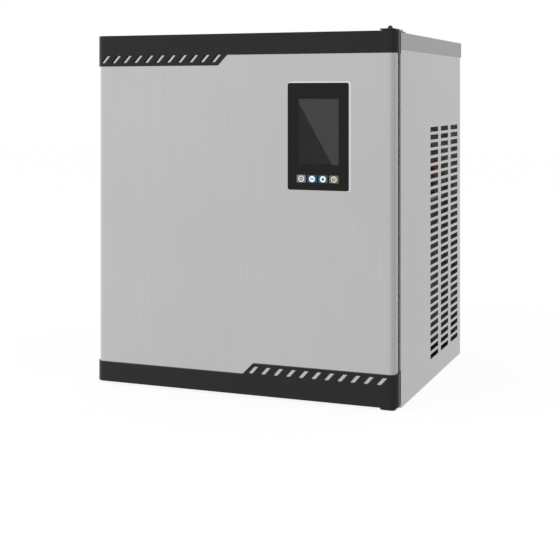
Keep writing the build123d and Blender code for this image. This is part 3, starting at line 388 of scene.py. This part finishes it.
def softened(node: str, name: str, edge: float, finish: Finish, body: str) -> bpy.types.Object:
    """Stand a copy of a solid with rounded edges in for it.

    Args:
        node: The solid's name.
        name: The copy's name.
        edge: Radius on its edges in millimetres.
        finish: Its finish.
        body: The body that it rides on.

    Returns:
        The copy.
    """
    source = bpy.data.objects[node].data
    work = bmesh.new()
    work.from_mesh(source)
    bmesh.ops.remove_doubles(work, verts=work.verts, dist=1e-6)
    bmesh.ops.dissolve_limit(work, angle_limit=math.radians(0.8), verts=work.verts, edges=work.edges)
    mesh = bpy.data.meshes.new(name)
    points = [tuple(point.co) for point in work.verts]
    mesh.from_pydata(points, [], [[point.index for point in face.verts] for face in work.faces])
    work.free()
    mesh.polygons.foreach_set("use_smooth", np.ones(len(mesh.polygons), dtype=bool))
    mesh.set_sharp_from_angle(angle=math.radians(30.0))
    piece = dress_new(bpy.data.objects.new(name, mesh), finish, body, edge=edge)
    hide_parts(node)
    return piece


def dress_solids(finishes: dict[str, Finish]) -> None:
    """Give solids that stay visible their finishes.

    Args:
        finishes: Solid's name to finish.
    """
    for node, finish in finishes.items():
        for place in bpy.data.objects[node].material_slots:
            place.material = finish.make()
        LOG.info("%s: finished as %s", node, finish.name)


def arc(centre: tuple[float, float], radius: float, start: float, stop: float, steps: int) -> np.ndarray:
    """Points on an arc: centre + radius (cos a, sin a) for angles a in degrees from start to stop.

    Args:
        centre: The arc's middle.
        radius: Its radius.
        start: First angle.
        stop: Last angle.
        steps: Number of points.

    Returns:
        The points, steps by 2.
    """
    angle = np.radians(np.linspace(start, stop, steps))
    return np.stack([centre[0] + radius * np.cos(angle), centre[1] + radius * np.sin(angle)], axis=1)


def rounded_outline(x: tuple[float, float], z: tuple[float, float], radius: float,
                    steps: int = 9) -> tuple[np.ndarray, np.ndarray]:
    """Closed outline of a rectangle with round corners, and its outward directions.

    Each corner is an arc of a quarter turn; between corners the outline runs straight.

    Args:
        x: Left and right edge.
        z: Lower and upper edge.
        radius: Corner radius.
        steps: Points on each corner.

    Returns:
        The points and the unit normals, both n by 2.
    """
    centres = np.array([(x[1] - radius, z[1] - radius), (x[0] + radius, z[1] - radius),
                        (x[0] + radius, z[0] + radius), (x[1] - radius, z[0] + radius)])
    angle = np.radians(np.linspace(0.0, 90.0, steps)[None, :] + np.arange(4)[:, None] * 90.0)
    normals = np.stack([np.cos(angle), np.sin(angle)], axis=-1)
    points = centres[:, None, :] + radius * normals
    return points.reshape(-1, 2), normals.reshape(-1, 2)


def framed(outline: tuple[np.ndarray, np.ndarray], profile: np.ndarray,
           lean: tuple[float, float] = (0.0, 0.0)) -> np.ndarray:
    """Carry a closed profile round an outline that stands in the XZ plane.

    A point is outline + offset x (1 + lean . normal) x normal in X and Z, at the profile's depth in Y.
    The profile's first point comes again at its end, which closes the tube.

    Args:
        outline: Points and normals of rounded_outline.
        profile: Offset and depth pairs, m by 2.
        lean: How much wider the profile grows towards +X and +Z, as a share.

    Returns:
        A grid of m + 1 rows round the outline.
    """
    points, normals = outline
    loop = np.concatenate([profile, profile[:1]])
    spread = (1.0 + normals @ np.array(lean))[:, None] * normals
    flat = points[None, :, :] + loop[:, None, :1] * spread[None, :, :]
    depth = np.broadcast_to(loop[:, 1:], flat.shape[:2])
    return np.stack([flat[..., 0], depth, flat[..., 1]], axis=-1)


def slab(outline: tuple[np.ndarray, np.ndarray], front: float, rear: float, edge: float) -> np.ndarray:
    """Closed plate in the XZ plane whose front edge is cut at 45 degrees.

    Args:
        outline: Points and normals of rounded_outline.
        front: Depth of its face in Y.
        rear: Depth of its back.
        edge: Width of the cut edge.

    Returns:
        A ring grid that starts and ends in the plate's middle.
    """
    points, normals = outline
    middle = np.broadcast_to((points.min(axis=0) + points.max(axis=0)) / 2.0, points.shape)
    rings = np.stack([middle, points - edge * normals, points, points, middle])
    depth = np.broadcast_to(np.array([front, front, front + edge, rear, rear])[:, None], rings.shape[:2])
    return np.stack([rings[..., 0], depth, rings[..., 1]], axis=-1)


def turned(profile: np.ndarray, centre: tuple[float, float, float], sides: int,
           across: np.ndarray | None = None, axis: str = "z") -> np.ndarray:
    """Turn a profile round an axis: (r cos t, r sin t, h) for each radius r and height h.

    Args:
        profile: Radius and height pairs.
        centre: Where the axis starts.
        sides: Points round the turn.
        across: Factor on the radius for each point round, or None.
        axis: "z" for an upright axis, "y" for one along the depth.

    Returns:
        A ring grid.
    """
    turn = np.linspace(0.0, 2.0 * math.pi, sides, endpoint=False)
    factor = np.ones(sides) if across is None else across
    u = profile[:, :1] * np.cos(turn) * factor
    v = profile[:, :1] * np.sin(turn) * factor
    h = np.broadcast_to(profile[:, 1:], u.shape)
    shape = np.stack([u, v, h], axis=-1) if axis == "z" else np.stack([u, h, v], axis=-1)
    return shape + np.array(centre)


def hexagon(sides: int) -> np.ndarray:
    """Radius factor of a hexagon round a turn: 1 / cos of the angle from the nearest flat."""
    turn = np.linspace(0.0, 2.0 * math.pi, sides, endpoint=False)
    return 1.0 / np.cos((turn + math.pi / 6.0) % (math.pi / 3.0) - math.pi / 6.0)


def cushion_tile(centre: tuple[float, float], half: tuple[float, float], depths: tuple[float, float],
                 power: float = 2.0, tilt: float = 0.0) -> np.ndarray:
    """Closed low tile on the panel, round or squared, with a slightly crowned face.

    Round the edge x = a sign(cos t) |cos t| ** (2 / n) and z = b sign(sin t) |sin t| ** (2 / n), which
    is an ellipse for n = 2 and squares up as n grows. The face's depth is its edge's depth plus
    the crown times 1 - r ** 4, where r runs from 0 in the middle to 1 on the edge.

    Args:
        centre: The tile's middle in X and Z.
        half: Half its width and height.
        depths: Depth of its back and of its face in Y.
        power: The n of the formula.
        tilt: Turn in degrees.

    Returns:
        A ring grid that starts and ends in a pole.
    """
    turn = np.linspace(0.0, 2.0 * math.pi, 28, endpoint=False)
    u = half[0] * np.sign(np.cos(turn)) * np.abs(np.cos(turn)) ** (2.0 / power)
    v = half[1] * np.sign(np.sin(turn)) * np.abs(np.sin(turn)) ** (2.0 / power)
    lean = math.radians(tilt)
    edge_x, edge_z = u * math.cos(lean) - v * math.sin(lean), u * math.sin(lean) + v * math.cos(lean)
    reach = np.array([0.0, 1.0, 1.0, 0.94, 0.7, 0.35, 0.0])
    back, face = depths
    level = np.array([back, back, face + 0.06, face, face - 0.03, face - 0.04, face - 0.04])
    x = centre[0] + reach[:, None] * edge_x
    z = centre[1] + reach[:, None] * edge_z
    return np.stack([x, np.broadcast_to(level[:, None], x.shape), z], axis=-1)


# Sub-assemblies


@dataclass
class DoorShell:
    """Folded steel front with its two moulded caps."""

    half_width: float = 276.5
    front: float = 2.5
    rear: float = 20.0
    radius: float = 11.2
    low: float = 6.9
    high: float = 621.3
    sheet: float = 1.0
    cutout_x: tuple[float, float] = (92.2, 193.4)
    cutout_z: tuple[float, float] = (362.0, 534.1)
    crease_x: float = 264.1
    crease_depth: float = 0.2

    def plan(self) -> np.ndarray:
        """Plan of the sheet: side, round corner, front with a shallow crease, corner and side.

        The crease adds depth x exp(-((x - middle) / 0.5) ** 2) to the front's Y.

        Returns:
            X and Y pairs from the left rear edge to the right one.
        """
        inner = self.half_width - self.radius
        left = arc((-inner, self.front + self.radius), self.radius, 180.0, 270.0, 25)
        right = arc((inner, self.front + self.radius), self.radius, 270.0, 360.0, 25)
        runs = [np.linspace(-inner, self.cutout_x[0], 12)[1:-1], np.linspace(*self.cutout_x, 5),
                np.linspace(self.cutout_x[1], self.crease_x - 3.0, 4)[1:],
                np.linspace(self.crease_x - 1.6, self.crease_x + 1.1, 14)]
        x = np.concatenate(runs)
        y = self.front + self.crease_depth * np.exp(-(((x - self.crease_x) / 0.5) ** 2))
        ends = np.array([[-self.half_width, self.rear]]), np.array([[self.half_width, self.rear]])
        return np.concatenate([ends[0], left, np.stack([x, y], axis=1), right, ends[1]])

    def build(self) -> None:
        """Make the sheet with its cut-out, and the two caps with rounded edges."""
        plan = self.plan()
        z = np.concatenate([np.linspace(self.low, self.cutout_z[0], 6), np.linspace(*self.cutout_z, 4)[1:],
                            np.linspace(self.cutout_z[1], self.high, 4)[1:]])
        shape = (len(z), len(plan))
        grid = np.stack([np.broadcast_to(plan[:, 0], shape), np.broadcast_to(plan[:, 1], shape),
                         np.broadcast_to(z[:, None], shape)], axis=-1)
        middle_x = (plan[1:, 0] + plan[:-1, 0]) / 2.0
        middle_z = (z[1:] + z[:-1]) / 2.0
        in_x = (middle_x > self.cutout_x[0]) & (middle_x < self.cutout_x[1])
        in_z = (middle_z > self.cutout_z[0]) & (middle_z < self.cutout_z[1])
        keep = ~(in_z[:, None] & in_x[None, :])
        skin = Patchwork().add(grid, keep=keep).build(
            "door_front_sheet", DOOR_STEEL, "door", "door_steel", facing=(0, -1, 0), wall=self.sheet)
        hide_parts("door_skin")
        softened("door_top_trim", "door_top_cap", 0.4, TRIM_ABS, "door")
        softened("door_bottom_trim", "door_bottom_cap", 0.4, TRIM_ABS, "door")
        dress_solids({"door_foam": POLYURETHANE, "door_liner": LINER_STYRENE, "hinge_bushes": GREY_PP})


@dataclass
class DoorSeal:
    """Magnetic seal round the door's inner face."""

    x: tuple[float, float] = (-263.0, 243.0)
    z: tuple[float, float] = (24.0, 598.0)
    radius: float = 14.0

    def build(self) -> None:
        """Carry the bellows profile, a root, two pleats and a bulb, round the opening."""
        profile = np.array([(-8, 21), (8, 21), (8, 23.4), (7.4, 24), (3.2, 24.2), (2.4, 25.2), (4.8, 26.4),
                            (4.8, 27.2), (3.0, 28.0), (5.4, 28.8), (6, 30), (6, 31.8), (4.8, 33.1),
                            (-4.8, 33.1), (-6, 31.8), (-6, 30), (-5.4, 28.8), (-3.0, 28.0), (-4.8, 27.2),
                            (-4.8, 26.4), (-2.4, 25.2), (-3.2, 24.2), (-7.4, 24), (-8, 23.4)])
        grid = framed(rounded_outline(self.x, self.z, self.radius), profile)
        seal = Patchwork().add(grid, ring=True).build("door_seal_bellows", SEAL_VINYL, "door", "seal_rubber")
        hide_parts("door_gasket")


@dataclass
class ControlPanel:
    """Polished panel with its silver rim, display and four keys with their signs."""

    x: tuple[float, float] = (88.9, 197.5)
    z: tuple[float, float] = (357.9, 538.3)
    radius: float = 3.5
    face: float = 1.2
    skin: float = 2.5
    window_x: tuple[float, float] = (107.6, 179.6)
    window_z: tuple[float, float] = (400.9, 511.5)
    key_x: tuple[float, float, float, float] = (113.4, 132.7, 152.0, 171.3)
    key_z: float = 377.0
    key_face: float = 0.8

    def rim(self) -> None:
        """Black lip round the panel, and the slope of silver lacquer from the lip to the steel.

        The slope is 1.85 mm wide times 1 + 0.7 to the right and 0.25 upwards.
        """
        outline = rounded_outline(self.x, self.z, self.radius, 7)
        face, skin = self.face, self.skin
        lip = np.array([(-2.6, face + 0.3), (-2.6, face - 0.02), (-2.2, face - 0.22), (-0.5, face - 0.26),
                        (-0.12, face - 0.16), (0.0, face + 0.1), (0.0, skin + 0.1), (-1.0, skin + 0.1)])
        Patchwork().add(framed(outline, lip), ring=True).build("panel_lip", PANEL_ABS, "door", "panel_black")
        slope = np.array([(-0.2, face + 0.2), (0.05, face + 0.02), (0.3, face), (1.7, skin - 0.3),
                          (1.85, skin - 0.1), (1.85, skin + 0.1), (-0.2, skin + 0.1)])
        rim = Patchwork().add(framed(outline, slope, (0.7, 0.25)), ring=True)
        rim.build("panel_rim", RIM_SILVER, "door", "panel_black")

    def sign_ring(self, x: float, outer: float, inner: float) -> np.ndarray:
        """A flat printed ring: a closed profile turned round the key's middle."""
        y = self.key_face
        profile = np.array([(inner, y + 0.05), (inner, y - 0.1), (inner + 0.1, y - 0.14),
                            (outer - 0.1, y - 0.14), (outer, y - 0.1), (outer, y + 0.05), (inner, y + 0.05)])
        return turned(profile, (x, 0.0, self.key_z), 28, axis="y")

    def signs(self) -> None:
        """Print the keys' plain signs: ring and chevron, minus, plus, ring and hand."""
        first, down, up, last = self.key_x
        z, y = self.key_z, self.key_face
        white = Patchwork().add(self.sign_ring(first, 5.2, 3.9), ring=True)
        for side in (-1.0, 1.0):
            bar = cushion_tile((first + side * 0.95, z - 0.1), (1.6, 0.5), (y + 0.05, y - 0.12), 6.0, side * 48)
            white.add(bar, ring=True)
        white.build("key_power_sign", SIGN_WHITE, "key_power", "key_grey")
        for name, x, tones in (("key_down", down, "key_blue"), ("key_up", up, "key_teal")):
            disc = cushion_tile((x, z), (5.3, 5.3), (y + 0.05, y - 0.12))
            Patchwork().add(disc, ring=True).build(name + "_disc", SIGN_WHITE, name, tones)
            sign = Patchwork().add(cushion_tile((x, z), (3.2, 0.85), (y - 0.1, y - 0.26), 8.0), ring=True)
            if name == "key_up":
                sign.add(cushion_tile((x, z), (0.85, 3.2), (y - 0.1, y - 0.27), 8.0), ring=True)
            sign.build(name + "_sign", SIGN_DARK, name, tones)
        ring = Patchwork().add(self.sign_ring(last, 5.0, 3.7), ring=True)
        ring.add(cushion_tile((last, z + 1.3), (0.5, 1.8), (y + 0.05, y - 0.12), 8.0), ring=True)
        ring.add(cushion_tile((last + 0.9, z - 0.3), (1.3, 0.5), (y + 0.05, y - 0.12), 8.0, -30.0), ring=True)
        ring.build("key_timer_sign", SIGN_WHITE, "key_timer", "key_olive")

    def build(self) -> None:
        """Make the rim, caps and signs, and finish the panel, window, display and board."""
        self.rim()
        softened("control_bezel", "panel_moulding", 0.3, PANEL_ABS, "door")
        for node, finish in (("key_power", KEY_GREY), ("key_down", KEY_BLUE), ("key_up", KEY_TEAL),
                             ("key_timer", KEY_OLIVE)):
            softened(node, node + "_cap", 0.35, finish, node)
        self.signs()
        pane = slab(rounded_outline(self.window_x, self.window_z, 0.8, 4), self.face + 0.2, 2.8, 0.2)
        window = Patchwork().add(pane, ring=True).build("display_pane", WINDOW_ACRYLIC, "door", "display_glass")
        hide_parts("display_window")
        dress_solids({"display_module": DISPLAY_FILM, "control_board": BOARD_LAMINATE})


@dataclass
class CabinetSheets:
    """Side, back, lid and floor sheets with the front frame."""

    half: float = 280.5
    front: float = 23.6
    lid_front: float = 33.6
    rear: float = 482.2
    top: float = 621.9
    flange: float = 593.0
    fold: float = 1.8
    sheet: float = 1.0
    screws: tuple[tuple[float, float, float], ...] = (
        (-268, 474.8, 30), (-268, 474.8, 200), (-268, 474.8, 380), (-268, 474.8, 560),
        (268, 474.8, 30), (268, 474.8, 200), (268, 474.8, 380), (268, 474.8, 560),
        (-200, 482.2, 606), (0, 482.2, 606), (200, 482.2, 606))

    def lid(self) -> None:
        """Fold the lid: flange, round fold, top, fold and flange carried along Y, and the rear flange."""
        inner, z = self.half - self.fold, self.top - self.fold
        hem = np.array([(0.9, self.flange + 0.9), (0.9, self.flange + 0.3), (0.45, self.flange),
                        (0.0, self.flange + 0.4)])
        across = np.concatenate([
            np.stack([-self.half + hem[2:, 0], hem[2:, 1]], axis=1), arc((-inner, z), self.fold, 180, 90, 7),
            arc((inner, z), self.fold, 90, 0, 7), np.stack([self.half - hem[:1:-1, 0], hem[:1:-1, 1]], axis=1)])
        y = np.array([self.front, self.lid_front, *np.linspace(self.lid_front, self.rear - self.fold, 9)[1:],
                      self.rear - 1.0])
        shape = (len(y), len(across))
        grid = np.stack([np.broadcast_to(across[:, 0], shape), np.broadcast_to(y[:, None], shape),
                         np.broadcast_to(across[:, 1], shape)], axis=-1)
        flank = np.abs(across[1:, 0] + across[:-1, 0]) / 2.0 > self.half - 0.6
        keep = np.ones((len(y) - 1, len(across) - 1), dtype=bool)
        keep[0] = keep[-1] = flank
        lid = Patchwork().add(grid, keep=keep)
        down = np.concatenate([arc((self.rear - self.fold, z), self.fold, 90, 0, 7),
                               [(self.rear, self.flange + 0.4), (self.rear - 0.4, self.flange)]])
        x = np.array([-inner, -inner / 2, 0.0, inner / 2, inner])
        shape = (len(down), len(x))
        lid.add(np.stack([np.broadcast_to(x, shape), np.broadcast_to(down[:, :1], shape),
                          np.broadcast_to(down[:, 1:], shape)], axis=-1))
        # The lid's darker steel is painted shade.
        cover = lid.build("lid_folded_sheet", LID_STEEL_PAINTED_SHADE, "cabinet", "side_steel", facing=(0, 0, 1),
                          wall=self.sheet)
        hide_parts("top_cover")

    def screw_heads(self) -> None:
        """Pan heads with a cross recess, each a bent square grid.

        The square (u, v) is bent to a disc by x = u sqrt(1 - v^2 / 2) and z = v sqrt(1 - u^2 / 2). The
        head stands out by h sqrt(1 - 0.8 r^2), and by 1.1 mm less where the cross is cut.
        """
        steps = np.array([-1.0, -0.86, -0.58, -0.5, -0.2, -0.13, 0.13, 0.2, 0.5, 0.58, 0.86, 1.0])
        u, v = np.meshgrid(steps, steps)
        x, z = u * np.sqrt(1 - v**2 / 2), v * np.sqrt(1 - u**2 / 2)
        arm = (np.minimum(np.abs(u), np.abs(v)) < 0.15) & (np.maximum(np.abs(u), np.abs(v)) < 0.52)
        rise = 2.2 * np.sqrt(1 - 0.8 * np.minimum(x**2 + z**2, 1.0)) - np.where(arm, 1.1, 0.0)
        border = np.maximum(np.abs(u), np.abs(v)) > 0.99
        rise = np.where(border, -0.3, rise)
        heads = Patchwork()
        for place in self.screws:
            heads.add(np.stack([4.0 * x, rise, 4.0 * z], axis=-1) + np.array(place))
        screws = heads.build("back_screw_heads", ZINC_PLATE, "cabinet", "zinc", facing=(0, 1, 0))
        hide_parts("back_screws")

    def build(self) -> None:
        """Make the lid and screws, and finish the flat sheets."""
        self.lid()
        self.screw_heads()
        dress_solids({
            "right_side_panel": CABINET_STEEL, "left_side_panel": CABINET_STEEL, "back_panel": ZINC_SHEET,
            "base_pan": ZINC_SHEET, "front_frame": FRAME_STEEL, "bin_seal": EPDM_FOAM,
            "compartment_liner": LINER_STYRENE, "divider_wall": LINER_STYRENE, "power_gland": BLACK_NYLON,
            "drain_fitting": GREY_PP, "water_inlet_valve": LINER_STYRENE})


@dataclass
class Hinges:
    """Hinge plates with their bolts and the cap on the upper pin."""

    bolt_x: tuple[float, float] = (254.0, 270.0)
    bolt_y: float = 58.0
    flats: float = 4.0
    upper: tuple[float, float] = (612.0, 624.4)
    lower: tuple[float, float] = (0.4, 5.0)
    cap_at: tuple[float, float, float] = (264.6, 15.0, 627.4)
    cap_radius: float = 4.2

    def build(self) -> None:
        """Turn the hexagon heads, nuts and domed cap, and soften the plates' edges."""
        head = np.array([(0.0, 3.3), (0.86, 3.3), (0.97, 3.0), (1.0, 2.6), (1.0, 0.0), (0.0, 0.0)])
        shank = np.array([(0.0, 1.0), (2.5, 1.0), (2.5, 0.0), (0.0, 0.0)])
        sizes = np.array([self.flats, 1.0])
        bolts = Patchwork()
        for x in self.bolt_x:
            bolts.add(turned(head * sizes, (x, self.bolt_y, self.upper[1]), 24, hexagon(24)), ring=True)
            bolts.add(turned(head * sizes, (x, self.bolt_y, self.lower[1]), 24, hexagon(24)), ring=True)
            for low, high in (self.upper, self.lower):
                rod = shank * np.array([1.0, high - low])
                bolts.add(turned(rod, (x, self.bolt_y, low), 16), ring=True)
        made = bolts.build("hinge_hex_bolts", ZINC_PLATE, "cabinet", "zinc")
        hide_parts("hinge_bolts")
        softened("upper_hinge_plate", "upper_hinge_strap", 0.5, POWDER_BLACK, "cabinet")
        softened("lower_hinge_plate", "lower_hinge_strap", 0.5, POWDER_BLACK, "cabinet")
        crown = np.concatenate([arc((0.0, 1.1), self.cap_radius, 90.0, 0.0, 9),
                                [(self.cap_radius, 0.0), (0.0, 0.0)]])
        cap = Patchwork().add(turned(crown, self.cap_at, 32), ring=True).build(
            "hinge_cap_dome", POWDER_BLACK, "cabinet", "black_steel")
        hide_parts("hinge_cap")


@dataclass
class FreezingCompartment:
    """The ice-making parts behind the door."""

    def build(self) -> None:
        """Finish the plate, its water circuit, the curtain and the float."""
        dress_solids({
            "evaporator_plate": NICKEL, "evaporator_frame": GREY_PP, "evaporator_coil": COPPER,
            "water_distributor": GREY_PP, "water_trough": GREY_PP, "water_pump": BLUE_NYLON,
            "pump_hose": SILICONE, "fill_tube": SILICONE, "drain_tube": SILICONE, "float_stem": GREY_PP,
            "float_ring": LINER_STYRENE, "curtain_brackets": GREY_PP, "splash_curtain": CURTAIN_PC})


@dataclass
class MachineCompartment:
    """The refrigeration parts behind the divider."""

    def build(self) -> None:
        """Finish the compressor, condenser, fan, lines, valves and electrical box."""
        dress_solids({
            # The condenser's lighter bands are painted highlights of fin edges; its grey is dust.
            "compressor": POWDER_BLACK, "compressor_grommets": EPDM_FOAM, "condenser_coil": FIN_ALUMINIUM_DUST_AND_EDGE_HIGHLIGHT,
            "fan_shroud": ZINC_SHEET, "fan": BLACK_NYLON, "fan_motor": POWDER_BLACK,
            "motor_bracket": ZINC_SHEET, "discharge_line": COPPER, "liquid_line": COPPER,
            "filter_drier": COPPER, "suction_line": COPPER, "hot_gas_line": COPPER,
            "expansion_valve": BRASS, "hot_gas_valve": BRASS, "control_box": ZINC_SHEET})


# Studio


@dataclass
class Studio:
    """Camera, floor and a plain soft room that is a little lighter to the upper left."""

    camera_at: tuple[float, float, float] = (0.797687, -2.123067, 0.517461)
    camera_turn: float = 0.367984
    focal_px: float = 1184.917
    horizon_px: float = 95.237
    frame_px: float = 560.0
    # What gloss sees: this level across the light side, and so much more or less along it.
    room_level: float = 0.8
    room_swing: float = 0.25
    light_side: tuple[float, float, float] = (-0.8, 0.0, 0.6)

    def camera(self) -> None:
        """Set the camera of the photograph's view: level, with its frame shifted down."""
        lens = bpy.data.cameras.new("front_right_view")
        lens.sensor_width = 36.0
        lens.lens = 36.0 * self.focal_px / self.frame_px
        lens.shift_y = (self.horizon_px - self.frame_px / 2.0) / self.frame_px
        eye = bpy.data.objects.new("front_right_view", lens)
        eye.location = self.camera_at
        eye.rotation_euler = (math.pi / 2.0, 0.0, self.camera_turn)
        bpy.context.scene.collection.objects.link(eye)
        bpy.context.scene.camera = eye

    def world(self) -> None:
        """Light gloss by one even slope, the rest from above, and show white to the camera.

        The level that gloss sees is room_level + room_swing x (direction . light_side).
        """
        world = bpy.data.worlds.new("white_room")
        bpy.context.scene.world = world
        world.use_nodes = True
        world.cycles.sampling_method = "NONE"
        tree = world.node_tree
        tree.nodes.clear()
        way = add_node(tree, "ShaderNodeTexCoord")
        axes = add_node(tree, "ShaderNodeSeparateXYZ", links={0: (way, "Generated")})
        toward = add_node(tree, "ShaderNodeVectorMath", {1: self.light_side}, {0: (way, "Generated")},
                          operation="DOT_PRODUCT")
        around = add_node(tree, "ShaderNodeMapRange",
                          {"From Min": -1.0, "From Max": 1.0, "To Min": self.room_level - self.room_swing,
                           "To Max": self.room_level + self.room_swing}, {"Value": (toward, "Value")})
        height = add_node(tree, "ShaderNodeMapRange",
                          {"From Min": -0.5, "From Max": 0.8, "To Min": 0.75, "To Max": 1.1},
                          {"Value": (axes, "Z")})
        rays = add_node(tree, "ShaderNodeLightPath")
        gloss = add_node(tree, "ShaderNodeBackground", {"Color": (1.0, 1.0, 1.0, 1.0)},
                         {"Strength": (around, 0)})
        soft = add_node(tree, "ShaderNodeBackground", {"Color": (1.0, 1.0, 1.0, 1.0)},
                        {"Strength": (height, 0)})
        white = add_node(tree, "ShaderNodeBackground", {"Color": (1.0, 1.0, 1.0, 1.0), "Strength": 1.0})
        lit = add_node(tree, "ShaderNodeMixShader",
                       links={0: (rays, "Is Glossy Ray"), 1: (soft, 0), 2: (gloss, 0)})
        clear = add_node(tree, "ShaderNodeMath",
                         links={0: (rays, "Is Camera Ray"), 1: (rays, "Is Transmission Ray")},
                         operation="MAXIMUM")
        seen = add_node(tree, "ShaderNodeMixShader", links={0: (clear, 0), 1: (lit, 0), 2: (white, 0)})
        add_node(tree, "ShaderNodeOutputWorld", links={"Surface": (seen, 0)})

    def floor(self) -> None:
        """Lay a pale floor that fades into the white room and keeps a soft shadow."""
        mesh = bpy.data.meshes.new("pale_floor")
        mesh.from_pydata([(-9, -9, 0), (9, -9, 0), (9, 9, 0), (-9, 9, 0)], [], [(0, 1, 2, 3)])
        floor = bpy.data.objects.new("pale_floor", mesh)
        bpy.context.scene.collection.objects.link(floor)
        material = bpy.data.materials.new("matt_white_paper")
        material.use_nodes = True
        tree = material.node_tree
        tree.nodes.clear()
        rays = add_node(tree, "ShaderNodeLightPath")
        share = add_node(tree, "ShaderNodeMath", {1: 0.9}, {0: (rays, "Is Camera Ray")},
                         operation="MULTIPLY")
        paper = add_node(tree, "ShaderNodeBsdfDiffuse", {"Color": (0.9, 0.9, 0.9, 1.0)})
        glow = add_node(tree, "ShaderNodeEmission", {"Color": (1.0, 1.0, 1.0, 1.0), "Strength": 1.0})
        both = add_node(tree, "ShaderNodeMixShader", links={0: (share, 0), 1: (paper, 0), 2: (glow, 0)})
        add_node(tree, "ShaderNodeOutputMaterial", links={"Surface": (both, 0)})
        mesh.materials.append(material)
        floor.visible_glossy = False

    def lamp(self, name: str, at: tuple[float, float, float], size: float, power: float) -> None:
        """Hang a square soft lamp that looks at the machine's middle and stays out of reflections.

        Args:
            name: The lamp's name.
            at: Where it hangs, in metres.
            size: Its width, in metres.
            power: Its power, in watts.
        """
        light = bpy.data.lights.new(name, "AREA")
        light.size, light.energy = size, power
        lamp = bpy.data.objects.new(name, light)
        lamp.location = at
        reach = np.array([0.0, 0.0, 0.3]) - np.array(at)
        lamp.rotation_euler = (math.acos(-reach[2] / np.linalg.norm(reach)), 0.0,
                               math.atan2(reach[1], reach[0]) - math.pi / 2.0)
        lamp.visible_glossy = False
        bpy.context.scene.collection.objects.link(lamp)

    def build(self) -> None:
        """Set up the camera, the room, the floor and the lamps."""
        self.camera()
        self.world()
        self.floor()
        self.lamp("soft_key", (-1.8, -2.2, 2.2), 1.6, 22.0)
        self.lamp("soft_fill", (2.4, -1.2, 1.8), 1.6, 10.0)
        bpy.context.scene.view_settings.view_transform = "Standard"


def main() -> None:
    """Load the frame, set the studio, build every sub-assembly and note the sizes."""
    logging.basicConfig(level=logging.INFO, format="%(message)s")
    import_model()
    parts = (Studio(), DoorShell(), DoorSeal(), ControlPanel(), CabinetSheets(), Hinges(),
             FreezingCompartment(), MachineCompartment())
    for part in parts:
        part.build()
        LOG.info("%s is built", type(part).__name__)


if __name__ == "__main__":
    main()
